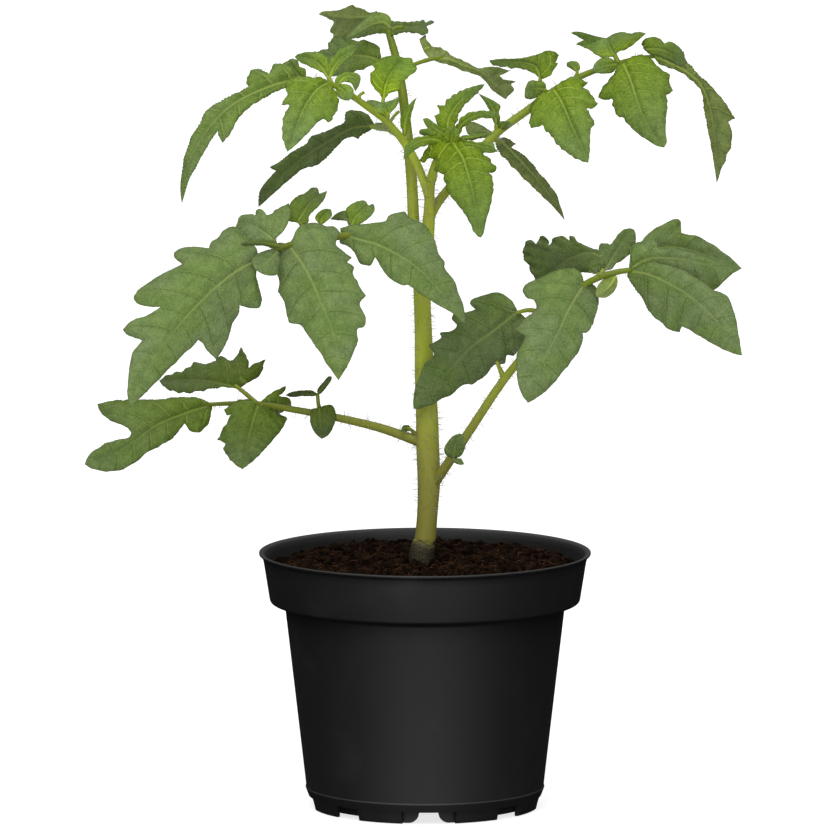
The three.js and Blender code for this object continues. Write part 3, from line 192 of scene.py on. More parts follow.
LEAF_1 = LeafPlan(
    name="leaf_1", youth=0.4, tone=0.78, stalk_tone=0.74, pucker=1.15, teeth=0.24, slot=Slot.LEAF,
    stalks=(
        ((0, 132.6, 0, 4), (-6, 134.6, 1, 3.6), (-16.2, 138.1, 4, 3.2), (-32.4, 142, 9, 2.8),
            (-50.5, 145.3, 14, 2.3), (-60, 146.8, 17, 2.1), (-70, 147, 19, 1.7), (-78.5, 146.6, 20, 1.5)),
        ((-60.5, 146.8, 17, 1.7), (-64.5, 150.4, 20, 1.6), (-68.5, 153.6, 23, 1.4)),
        ((-37.4, 143.2, 10.5, 1.6), (-38.4, 146.5, 10, 1.4), (-38.8, 150.6, 9.5, 1.3)),
        ((-37.8, 143, 10.5, 1.4), (-38.2, 144.8, 8, 1.3)),
        ((-3, 135.2, 0.5, 1.8), (-5, 137.4, -0.8, 1.2), (-6.6, 138.2, -1.6, 1.2)),
    ),
    leaflets=LEAF_1_LEAFLETS,
)

LEAF_2_LEAFLETS = (
    Leaflet(  # large and dark, reaching across the stem
        midrib=(33.4, 180.4, -27, 24.4, 173.2, -21, 16.9, 167.7, -16.5, 10, 160.2, -12.5,
            3.1, 153.2, -10, -4.2, 145, -8.6),
        one=(32.2, 183.1, 30.8, 184.9, 26.2, 187.4, 20.2, 186.1, 16.7, 184.6, 16.7, 182.8, 18, 181.3,
            15.1, 180.2, 10.9, 179.7, 9.8, 177.9, 11.3, 175.2, 10, 173.6, 5.7, 172.9, 6, 171.2,
            3.1, 169.2, 1.7, 168.4, 3.2, 164.9, 0.7, 162, -1.2, 158.8, -2.8, 154.5, -4.2, 149),
        two=(36, 178.4, 37, 174, 35.6, 169.4, 32, 164.7, 29.4, 164.6, 29, 161.8, 25.5, 161.3,
            21.6, 157.1, 17.5, 154.2, 14.6, 154.2, 10, 150.8, 4.4, 147.8, -1.6, 145.2),
        lean=(0.4, 0.3), tone=0.8,
    ),
    Leaflet(  # large and pale, hanging in front
        midrib=(57.4, 190.4, -35, 54, 185, -41, 51.2, 180, -45, 47.7, 172.1, -50, 43, 163.2, -55,
            37.2, 147.2, -60),
        one=(56.5, 194, 54.2, 195.9, 49.5, 195.9, 44.7, 194.1, 40.6, 192.5, 36.5, 190.5, 35.2, 188.1,
            36.5, 185.8, 39.4, 184.4, 40, 181.6, 35.9, 177.5, 32.4, 173.9, 33.7, 172.6, 36.2, 171.5,
            34.7, 168, 33.2, 164.4, 33.4, 155.5, 35, 150.1),
        two=(59.2, 191.4, 62.3, 188.4, 62.4, 184.6, 61.3, 178.1, 59.8, 174.5, 58.6, 173, 57, 172.7,
            57.1, 170.3, 53.9, 163.8, 50.6, 159.6, 44.7, 152.5, 39.7, 148.6),
        lean=(0.35, 0.3),
    ),
    Leaflet(  # rear, lobed
        midrib=(63.2, 200.6, -31.6, 59.8, 201.8, -29, 53.6, 200.3, -25, 46, 195.6, -19,
            40, 190.6, -14),
        one=(62.6, 202.4, 59.4, 203.8, 55.2, 205.9, 53.6, 207.8, 52.4, 207.9, 51.8, 206.3, 50.6, 207.4,
            48.9, 208.1, 46.2, 206.8, 44.7, 204.4, 43.9, 207.3, 42.5, 208.1, 41, 207, 40.4, 204.9,
            39.6, 205.7, 37.8, 206.5, 36.2, 205.2, 35.2, 201.4, 37.3, 197.1, 38.9, 193.8),
        two=(64.8, 198.8, 64.8, 196.5, 62.4, 194.4, 56.5, 194.6, 50, 191.6, 44, 189.4),
        lean=(0.5, -0.5), tone=0.62,
    ),
    Leaflet(  # small, upright
        midrib=(65, 195.6, -35, 67.6, 200, -30, 70.6, 205, -25, 74, 210.8, -20),
        one=(62.9, 199.2, 62.5, 202.4, 63, 204.9, 64.1, 205.3, 66.7, 204.9, 68.4, 206.8, 69.9, 208.9,
            72, 210.4),
        two=(67.2, 195.8, 68.8, 197.7, 72, 199.8, 74.6, 202.5, 76, 207.3, 75.4, 210),
        lean=(0.3, -0.2), tone=0.7,
    ),
    Leaflet(  # end leaflet, lower lobe
        midrib=(73.2, 195.2, -37.4, 80.6, 194, -41, 88, 190.6, -44.5, 94.6, 186.6, -48,
            103, 179.4, -53.5, 109.6, 171.4, -58, 114.4, 164.5, -62),
        one=(73, 193.6, 74.1, 191.8, 77.2, 187, 79.3, 183.2, 81.4, 180, 84.1, 177.3, 89.3, 173.4,
            92, 173, 93, 175.2, 99.3, 171.4, 106.7, 167.1, 112.2, 164.9),
        two=(82, 198, 90, 196.6, 98, 192.6, 104, 188.4, 106.4, 187.6, 109.3, 185.4, 111.7, 179.5,
            112.6, 175.6, 113.2, 171.4),
        lean=(0.35, 0.3), tone=0.9,
    ),
    Leaflet(  # end leaflet, middle lobe
        midrib=(73.4, 195.6, -37.2, 80, 199.4, -38, 90, 199.8, -40, 100, 197.8, -42,
            111.9, 195.2, -44),
        one=(73.9, 199.8, 74.3, 204.1, 76.7, 205.5, 81.4, 206.3, 83.5, 205.7, 84.3, 203.8, 90, 203.2,
            98, 201.2, 105.6, 198.2),
        two=(82, 193.6, 92, 191, 98, 189, 104, 188.2, 108, 191.6),
        lean=(0.3, 0.2), tone=0.93,
    ),
    Leaflet(  # end leaflet, upper blade
        midrib=(75, 198.4, -33, 83, 203.4, -30, 92, 203.6, -28, 103, 200.4, -27, 114.2, 196.2, -27),
        one=(76.4, 203, 78.3, 206.3, 82.5, 210.5, 86.2, 212.4, 89.9, 214, 92, 213.2, 92.2, 208.9,
            98.3, 207.7, 104.6, 204.1, 110.9, 199.3),
        two=(80, 196.6, 90, 194.6, 100, 192.6, 108, 193.4, 111.4, 194.6),
        lean=(0.4, -0.3), tone=0.85,
    ),
    Leaflet(  # pale curl under the rachis
        midrib=(68.9, 193.8, -37, 66.4, 189.6, -38, 61.6, 185.8, -39.5),
        one=(66.4, 193.2, 63.4, 191.4, 61.7, 188.6),
        two=(69.4, 190.8, 68, 187.6, 65, 185.5),
        lean=(0.4, 0.4), youth=0.6, tone=1.3, shows=Face.UNDER,
    ),
    Leaflet(  # small folded leaflet low on the petiole
        midrib=(10, 127, -9, 10.8, 131.4, -11.5, 12.6, 136, -13.5),
        one=(7.6, 128.2, 6.9, 130.4, 8.2, 133, 10.2, 135.2),
        two=(12.8, 127.8, 14.2, 130, 14.8, 132.8, 14.2, 135.2),
        lean=(-0.5, 0.2), tone=1.0,
    ),
    Leaflet(  # tiny one below it
        midrib=(9.6, 126.6, -8.6, 12, 125.9, -10.5, 14.2, 124.8, -12),
        one=(11.2, 127, 13, 126.8),
        two=(11, 125.2, 12.8, 124.6),
        lean=(0.2, 0.2),
    ),
)

LEAF_2 = LeafPlan(
    name="leaf_2", youth=0.05, tone=0.92, stalk_tone=0.82, pucker=0.65, teeth=0.12, slot=Slot.LEAF,
    stalks=(
        ((2, 116.5, 0, 4.2), (5.4, 121, -3, 3.8), (16.3, 137.3, -13, 3.3), (27.1, 153.7, -22, 3.1),
            (34.3, 162.9, -26, 2.9), (45, 174.5, -31, 2.7), (53, 184.5, -34, 2.6), (57.6, 190.2, -35, 2.5),
            (63.2, 193, -36, 2.3), (69, 194.8, -37, 2.1), (74.5, 195.6, -37.5, 1.9)),
        ((44, 173.5, -30.6, 2), (42, 179.6, -30, 1.8), (37.5, 181, -28.6, 1.6), (33, 180, -27, 1.4)),
        ((28.6, 155.9, -22.6, 2.2), (27, 159.6, -22, 1.6), (25.8, 162.4, -21.5, 1.2)),
        ((61.5, 192.4, -35.8, 1.8), (64.4, 196.4, -32, 1.5), (63, 200.8, -30.5, 1.3)),
        ((63, 193, -36, 1.8), (64.4, 195.8, -34.6, 1.6)),
    ),
    leaflets=LEAF_2_LEAFLETS,
)

LEAF_3_LEAFLETS = (
    Leaflet(  # terminal
        midrib=(-60.2, 199, -41.5, -66.5, 196.1, -43.5, -76.2, 188.6, -47.5, -83.6, 181.1, -51,
            -89.5, 174.6, -54, -97.5, 163.9, -58.5, -102.8, 154.3, -62.5, -106, 145.4, -66),
        one=(-60.4, 202.6, -63, 206.4, -66.4, 210.6, -69.7, 211.3, -72.7, 209.7, -74.5, 207.3,
            -77, 205.8, -77.9, 203.5, -83.1, 204.1, -87.4, 203.6, -90.3, 201.7, -90, 199.8,
            -87.6, 197.8, -92.2, 195.3, -100.7, 190.4, -103.9, 187.5, -105, 185.1, -103.6, 183.4,
            -100.2, 182.2, -95.1, 182, -100.7, 178.9, -104.7, 177.8, -107.7, 175.4, -108.8, 173.6,
            -107.7, 172.2, -102, 170.1, -105.5, 165, -106.8, 159.1, -107.1, 147.9),
        two=(-61, 193.9, -59.6, 188.6, -58.6, 184.5, -59.9, 182, -62.8, 181.7, -67.2, 182.9,
            -67.3, 180, -69.2, 176.2, -72.9, 166.6, -75.3, 162.7, -78.8, 166.6, -80.2, 169.3,
            -81.6, 170.1, -85.8, 166.1, -90, 162, -98, 153.7, -102.8, 148.9),
        lean=(0.35, 0.3),
    ),
    Leaflet(  # large, hanging
        midrib=(-49.3, 204.8, -37, -44.9, 198.9, -40, -41, 192, -43, -37.7, 184.2, -47,
            -34.3, 176.3, -51, -31.8, 167.5, -55, -31.2, 155.4, -60),
        one=(-52.2, 205.6, -54.4, 204.2, -55, 200, -53.3, 194, -52.5, 190.5, -52.9, 187.6,
            -51.2, 185.1, -50.2, 181.2, -49.5, 178.3, -48.1, 176.2, -45, 175.6, -41, 170, -37.2, 164.6,
            -33.8, 159.2),
        two=(-47.6, 207.2, -46.4, 210.1, -44.4, 211.8, -39.1, 212.8, -35.2, 211.3, -32.8, 211.4,
            -30.8, 209, -31.6, 206.7, -32.1, 205, -29.9, 202.8, -26.4, 199.8, -28.2, 198.3,
            -25.6, 196.6, -26, 194.5, -24.8, 191.8, -21.3, 186.1, -23.5, 183.4, -22.2, 180.3,
            -21.3, 177.3, -21.9, 175.1, -24.3, 174.1, -24.3, 170, -25.5, 166.1, -28, 160.7),
        lean=(0.3, 0.3),
    ),
    Leaflet(  # large, across the stem
        midrib=(-28.6, 208.2, -25, -22.1, 206.2, -27, -17.6, 205, -27.5, -9.3, 200.8, -30,
            -0.3, 194.2, -32, 9.1, 183.4, -33.5, 14.4, 176.2, -34),
        one=(-30.2, 209.2, -30.4, 210.6, -27.4, 211.4, -21.4, 212.4, -14.3, 213.2, -13.2, 215,
            -10, 216.3, -7.2, 216.5, -6.3, 215.2, -1.6, 212.7, 1.1, 210.6, 3.6, 205.7, 5.3, 200.8,
            7, 198.1, 6.9, 196.8, 10.1, 192.1, 13.1, 184.4, 14.6, 178.6),
        two=(-30.6, 207.2, -30.6, 205.4, -28, 204.3, -25.6, 202.2, -23.5, 198, -22.1, 197.4,
            -19.7, 197.3, -17.7, 200.2, -15.5, 196, -12.7, 192.5, -7.9, 190, -6.2, 190.1, -1.6, 186.7,
            4.9, 182.7, 10.8, 179.2, 12.9, 176.9),
        lean=(0.45, -0.2),
    ),
    Leaflet(  # rounded, behind
        midrib=(-54.4, 206.4, -36.6, -58.6, 209.6, -32, -62.6, 212, -27.5, -67.6, 213, -23),
        one=(-50.6, 210.2, -48.4, 216, -49, 219.8, -53.2, 217.7, -56.6, 215.4, -58.7, 217.5,
            -60.8, 217.3, -61.1, 215.5, -64.3, 215.8, -66.8, 215),
        two=(-58, 204.6, -63, 205.2, -68.2, 210.4),
        lean=(0.35, -0.4), tone=1.08,
    ),
    Leaflet(  # upper, pointing up
        midrib=(-46, 212.8, -26.4, -43.4, 217, -22.5, -40, 221.2, -19, -35.1, 224.4, -16),
        one=(-49.4, 213.6, -49.6, 217, -48.3, 220.1, -45.4, 222.7, -43.5, 223.3, -40.6, 225.5,
            -38.8, 225.2, -38, 223.3),
        two=(-43.8, 211.9, -42, 213, -41.7, 215.2, -38.1, 218.9, -36.2, 221.4),
        lean=(0.3, -0.4), youth=0.4, tone=0.85,
    ),
    Leaflet(  # small bright oval
        midrib=(-37.6, 211.8, -27.4, -36.8, 214.8, -25.4, -33.8, 217.6, -24),
        one=(-39.6, 214.4, -38.5, 216.4, -36, 217.8),
        two=(-35.5, 213.2, -33.5, 215.4),
        lean=(-0.3, -0.3), youth=0.6,
    ),
    Leaflet(  # small bright, turned up
        midrib=(-26.7, 210.6, -22, -25, 214.6, -19.5, -20.4, 219, -16),
        one=(-27.8, 212.3, -28.6, 215.1, -28.3, 217.9, -25, 220.2, -21.6, 220.7),
        two=(-24.2, 211.9, -21.6, 213.4, -19.2, 215.5, -18.2, 217.2, -18.7, 219.5),
        lean=(0.3, -0.5), youth=0.6,
    ),
    Leaflet(  # dark point behind it
        midrib=(-27.2, 212.6, -22, -30, 215, -19, -34.2, 214, -16.5),
        one=(-28.5, 217, -31.6, 216.2),
        two=(-28.6, 213.4, -31.6, 213.6),
        lean=(0.5, -0.5), tone=0.6,
    ),
    Leaflet(  # edge-on sliver over the terminal leaflet
        midrib=(-51.5, 204, -44, -56, 205, -46, -61, 205.4, -48, -66.4, 205, -50),
        one=(-54, 205.6, -58, 206.6, -62, 206.4, -65.6, 205.7),
        two=(-54, 203.4, -58, 204.4, -62, 204.5, -65.6, 204.4),
        lean=(1.8, 1.8), youth=0.5, tone=0.6,
    ),
    Leaflet(  # small grey leaflet between the two large ones
        midrib=(-53, 202.4, -41.5, -55, 200.4, -43.6, -58, 197.6, -45, -61.2, 195.6, -45.2),
        one=(-55, 203.2, -58, 202.4, -61, 201, -62.4, 198.8),
        two=(-52.4, 199.6, -52.6, 196.4, -53.6, 193.8, -57.6, 193.8),
        lean=(0.3, 0.3),
    ),
)

LEAF_3 = LeafPlan(
    name="leaf_3", youth=0.03, tone=0.98, stalk_tone=0.58, pucker=0.65, teeth=0.12, slot=Slot.LEAF,
    stalks=(
        ((0, 200.8, -2.2, 3.8), (-3.6, 204, -5.6, 3.5), (-8, 206, -9.5, 3.4), (-17, 208, -17, 3.1),
            (-27, 208.2, -24, 2.8), (-38, 206.6, -31, 2.5), (-49, 204.6, -37, 2.2), (-56, 201.8, -40, 1.9),
            (-61.5, 198.6, -42, 1.6)),
        ((-42.4, 205.9, -33.4, 1.8), (-42.4, 209, -30, 1.6), (-45.4, 213.2, -26, 1.4)),
        ((-53.4, 203, -39, 1.6), (-54.4, 206.6, -36.5, 1.4)),
        ((-37.6, 206.6, -30.5, 1.6), (-37.6, 212.4, -27, 1.3)),
        ((-27, 208.2, -24, 1.8), (-26.6, 211.4, -22, 1.4)),
    ),
    leaflets=LEAF_3_LEAFLETS,
)

LEAF_4_LEAFLETS = (
    Leaflet(  # terminal, long and drooping
        midrib=(-47, 264.5, -23, -54.4, 262.6, -26, -65.2, 258, -30, -73, 252.4, -33, -80, 244, -35.5,
            -84.6, 235.6, -37, -86.8, 228.4, -38, -87.7, 219.8, -38.5),
        one=(-46.4, 266.4, -48, 268.6, -50.2, 270.4, -52.8, 270.2, -54.8, 269.4, -56, 266.6,
            -57.8, 267.8, -60, 268.5, -62.2, 267.9, -63.6, 265.6, -64.4, 263.4, -63.2, 262.4,
            -67.2, 259.7, -75.1, 256, -78, 253.6, -82.6, 245.9, -84.9, 241.7, -87.2, 232.8,
            -88.1, 224.2),
        two=(-50, 261.8, -55, 259.5, -60, 256.5, -64.6, 253.4, -67.2, 250.1, -71, 243.8, -72.8, 241.6,
            -74.1, 244.2, -74.4, 245.9, -76.8, 243, -80.9, 235.5, -84.3, 229.6, -87, 222),
        lean=(0.7, -0.5), youth=0.28, tone=1.0,
    ),
    Leaflet(  # a lobe of its own beside the terminal's base
        midrib=(-43.6, 264, -21, -46.4, 267.4, -20, -49.4, 271.4, -18.5),
        one=(-46, 265.6, -49.4, 266.6, -51, 268.8, -50.8, 270.6),
        two=(-42.8, 266, -43.2, 268.6, -45.2, 269.4, -45.8, 271.6, -48, 272.2),
        lean=(-0.3, -0.3), tone=0.9,
    ),
    Leaflet(  # bright, hanging in front
        midrib=(-34.9, 263.5, -18, -38.2, 261.6, -23.5, -41.9, 257.2, -29, -45.2, 250.5, -35,
            -49.4, 238.6, -43),
        one=(-37, 265.2, -40.5, 265.4, -44, 265.8, -48, 265.2, -50.2, 262.6, -49.6, 259.7,
            -51.8, 255.3, -48.6, 255.4, -50.6, 252, -51.4, 247.2, -51.1, 242.4),
        two=(-33.4, 262, -31.5, 258.6, -31.7, 254.3, -34, 249.8, -35.2, 249.6, -37.3, 250.1,
            -41.9, 245.5, -46.6, 240.8),
        lean=(-0.25, 0.2),
    ),
    Leaflet(  # V-shaped, left blade
        midrib=(-34.8, 264.9, -15.6, -37.6, 269.6, -9, -41.6, 272.2, -4, -47, 272.9, 0),
        one=(-37, 267.2, -40.4, 268.8, -45.1, 271.1),
        two=(-34.8, 268.4, -34.7, 271.7, -37, 274.1, -41.6, 274.6, -45.4, 273.9),
        lean=(-0.6, 0.4), youth=0.75, tone=1.08,
    ),
    Leaflet(  # V-shaped, right blade
        midrib=(-34.5, 265, -15.6, -32.6, 269.4, -9, -29.6, 273, -4, -24.3, 275.9, 0),
        one=(-35.3, 268.8, -33.5, 272.3, -30, 275.8, -26, 277),
        two=(-32.9, 266.4, -30, 270, -26.6, 272.9),
        lean=(0.4, -0.6), youth=0.75, tone=1.08,
    ),
    Leaflet(  # small, arching to the right
        midrib=(-31.5, 262, -15.6, -28.6, 265.6, -12.5, -24.6, 264.8, -11, -25, 260.4, -12),
        one=(-32.4, 264.4, -30.1, 266.7, -25.7, 267.2, -23.3, 265.8, -23.8, 262.4),
        two=(-29.6, 263.6, -26.8, 263.4),
        lean=(0.4, -0.4),
    ),
    Leaflet(  # small, hanging right
        midrib=(-31.8, 262.2, -15.6, -29.4, 260.6, -18, -27.4, 257, -20.5),
        one=(-31.4, 258.6, -29.4, 257.2),
        two=(-29.6, 263, -26.4, 262, -25.7, 259),
        lean=(0.3, 0.3),
    ),
    Leaflet(  # bright, upright
        midrib=(-15, 257.4, -5.6, -14.2, 262.4, -3.5, -12.2, 267, -1, -7.6, 272.6, 2),
        one=(-16.6, 259.6, -18.9, 262.5, -19.7, 266.6, -18.2, 268.2, -18.9, 270, -14.4, 272.9,
            -10.4, 273.3),
        two=(-13.4, 258.8, -12.4, 260, -9.7, 260.5, -8.6, 263, -6.4, 265.2, -2.8, 268.6, -4.2, 270.6,
            -4.8, 272.3),
        lean=(-0.3, -0.3), youth=1.0,
    ),
    Leaflet(  # small open V on the petiole
        midrib=(-14, 251.4, -10.2, -14.4, 254, -9, -15.2, 256.2, -7.6),
        one=(-17.4, 252.8, -21.9, 255.6, -20, 257.2, -17.4, 257),
        two=(-12.4, 252.6, -9.9, 255.5, -9, 258.1, -12.8, 256.9),
        lean=(-0.5, -0.5),
    ),
    Leaflet(  # long and dark, behind
        midrib=(-18.4, 247.8, 1.6, -26, 247, 6, -36, 241.4, 12, -46, 234.8, 18, -55, 226, 23,
            -60.1, 218.4, 27),
        one=(-18.8, 249.6, -20.9, 252.2, -24.6, 253.4, -28.3, 252.6, -29, 249.3, -34.9, 246.2,
            -41, 243.8, -42.1, 242, -48.5, 237.8, -52.3, 235, -55.8, 232.8, -53.4, 231.6, -57.7, 227.1,
            -59.7, 222.9),
        two=(-20, 246, -22.2, 244.9, -24, 243, -25.7, 243.8, -28.3, 243.4, -31.5, 240.3, -36.1, 235.9,
            -38.6, 233.6, -43.6, 232.3, -50.2, 227.1, -57.7, 220.4),
        lean=(0.5, -0.5), youth=0.1, tone=0.68,
    ),
    Leaflet(  # small, underside showing, on its stalk
        midrib=(-10.6, 246, -8, -14.4, 247.6, -5.6, -18.8, 247.8, -2.6),
        one=(-12.2, 248.2, -15.6, 249, -17.8, 248.9),
        two=(-12.6, 245.8, -15.6, 246, -17.8, 246.4),
        lean=(0.3, -0.3), youth=0.3, tone=1.7, shows=Face.UNDER,
    ),
    Leaflet(  # narrow, upright by the rear stem
        midrib=(-7.4, 243.4, -5.8, -7.2, 248.6, -7, -6, 253, -8, -2.9, 258.3, -9),
        one=(-8.1, 246.6, -8.9, 249.2, -6.9, 253.9, -5, 256.4),
        two=(-6, 247.6, -5.2, 251, -4.4, 254),
        lean=(0.6, 0.6), youth=0.9,
    ),
)

LEAF_4 = LeafPlan(
    name="leaf_4", youth=0.55, tone=1.22, stalk_tone=1.12, pucker=1.4, teeth=0.34, slot=Slot.YOUNG,
    stalks=(
        ((1.6, 222.6, -2, 3.4), (0.2, 226, -2.8, 3.1), (-3.2, 234.6, -4.4, 3.1), (-6.6, 240.6, -5.6, 3),
            (-10.2, 245.4, -7, 2.8), (-14.4, 250, -8.6, 2.7), (-20.5, 254.6, -11, 2.5),
            (-26.5, 258.8, -13.4, 2.3), (-33, 262.6, -16, 2.1), (-41, 264.4, -20, 2),
            (-48.5, 264.4, -24, 1.8)),
        ((-10.2, 245, -7, 2), (-14, 246.8, -3, 1.8), (-19.5, 247.6, 2, 1.7)),
        ((-14.6, 250.2, -8.6, 1.6), (-15.2, 254, -7, 1.4), (-15, 258, -5.4, 1.3)),
        ((-14, 249.8, -8.6, 1.4), (-13.2, 251.4, -9.8, 1.3), (-13.8, 252.8, -10.4, 1.2)),
        ((-12.8, 248.6, -8, 1.2), (-11.6, 250.8, -4.5, 1.1), (-9.5, 253, -1, 1.1)),
        ((-33.4, 262.6, -16, 1.8), (-34.7, 265.4, -15.4, 1.6)),
        ((-23, 256.4, -12, 1.2), (-23.6, 258.8, -11.2, 1.1), (-22, 260, -10, 1.1)),
        ((-6.6, 240.6, -5.6, 2), (-7.4, 244, -6, 1.8)),
    ),
    leaflets=LEAF_4_LEAFLETS,
)

LEAF_5_LEAFLETS = (
    Leaflet(  # terminal, hanging behind, underside showing
        midrib=(-17, 287.6, 33, -21.5, 287.6, 38, -27, 287.2, 44, -32.4, 287.8, 50, -38, 288.5, 56),
        one=(-17.6, 289.3, -20.4, 288.9, -23.5, 290.5, -26, 291.4, -27.9, 291.1, -30.1, 290,
            -33.2, 289.5, -36.7, 289.3),
        two=(-17.6, 284.6, -20.4, 281.6, -25.4, 279.4, -30.5, 279.2, -32.5, 279.8, -33.9, 282.8,
            -32.9, 285.1, -34.1, 286.4, -36.7, 287.7),
        lean=(-0.4, 0.7), shows=Face.UNDER,
    ),
    Leaflet(  # its folded front half
        midrib=(-12.4, 283.4, 28.4, -15, 285.4, 28.6, -19.4, 284.4, 27.6, -23.6, 281.8, 26,
            -28.2, 279.5, 25),
        one=(-11.9, 285.4, -13.4, 287.9, -16, 288.9, -18.6, 289, -22.2, 285.9, -25.7, 282.6),
        two=(-11.6, 282, -12, 280.6, -14.4, 281.4, -16.5, 281.4, -19.6, 280.8, -24.6, 279.6),
        lean=(0.5, 0.9), tone=1.02,
    ),
    Leaflet(  # right, edge-on
        midrib=(-12, 283.4, 31, -8, 283.6, 34.5, -3, 283.7, 39, 3.4, 285.6, 44),
        one=(-13, 285.6, -10.4, 285.6, -6, 285.4, -1.6, 285.9, -0.2, 286.1, 0.2, 285.3, 2.3, 286.1),
        two=(-12.4, 280.6, -10.6, 280.7, -8.2, 281.6, -2.9, 281.3, -0.3, 280.8, 1.2, 281.8, 0.6, 283.9,
            2.8, 285),
        lean=(1.2, -1.2), tone=0.66,
    ),
    Leaflet(  # dark, behind the bright V
        midrib=(-15.6, 271.2, 28.6, -21, 273, 31, -28, 273.4, 34, -35, 272.6, 37, -42, 272, 40),
        one=(-16, 274.4, -16.7, 276.6, -20.9, 278.7, -24.4, 278.7, -32.7, 279.6, -34.5, 278,
            -34.9, 276, -38.4, 274.9),
        two=(-18.7, 269.8, -25.7, 267.4, -29.6, 266.9, -33.1, 265.6, -38, 268),
        lean=(0.5, -0.5), tone=0.8,
    ),
    Leaflet(  # right, arching over and down
        midrib=(2, 271.9, 31, 8, 272, 35, 14, 269.6, 39, 20, 267.4, 43, 25, 262.6, 47,
            28.8, 257.5, 51),
        one=(-0.2, 274.4, -2.2, 279.6, 0.2, 281, 0.8, 278.6, 3.9, 276.2, 5.9, 276.4, 7, 275.2,
            10.7, 272.8, 15, 271, 18.9, 268.8, 24, 269.3, 31.2, 267.8, 26.8, 266, 27.6, 265, 32.9, 264,
            31.2, 262.8, 31.8, 261.2),
        two=(5.3, 270.8, 9.2, 269.8, 13.1, 268.1, 19.4, 265.9, 21.3, 264.5, 24.2, 260.8),
        lean=(0.7, -0.4), shows=Face.UNDER,
    ),
)

LEAF_5 = LeafPlan(
    name="leaf_5", youth=0.3, tone=1.22, stalk_tone=0.86, pucker=0.75, teeth=0.15, slot=Slot.LEAF,
    stalks=(
        ((-2, 200, 1.4, 4.4), (-3.7, 207, 3.2, 4.3), (-4.2, 216, 5, 4.2), (-4.8, 228, 9, 4),
            (-5.8, 240, 13.5, 3.8), (-7, 251, 18, 3.5), (-8.4, 262, 22.5, 3.3), (-10.2, 271.5, 26, 3),
            (-12.4, 279.5, 29, 2.6), (-13.8, 283.6, 30.8, 2.2), (-17, 286.6, 33.5, 1.7)),
        ((-13, 281.4, 29.6, 2), (-11.4, 283, 31.5, 1.7), (-8, 283.6, 34.5, 1.5)),
        ((-10, 271, 26, 1.8), (-13, 270.2, 27.5, 1.5), (-17.6, 271.6, 29, 1.4)),
        ((-9.4, 267.6, 24.6, 1.8), (-4.2, 270, 27.5, 1.5), (2, 272, 31, 1.6), (6, 272.6, 34, 1.5)),
    ),
    leaflets=LEAF_5_LEAFLETS,
)

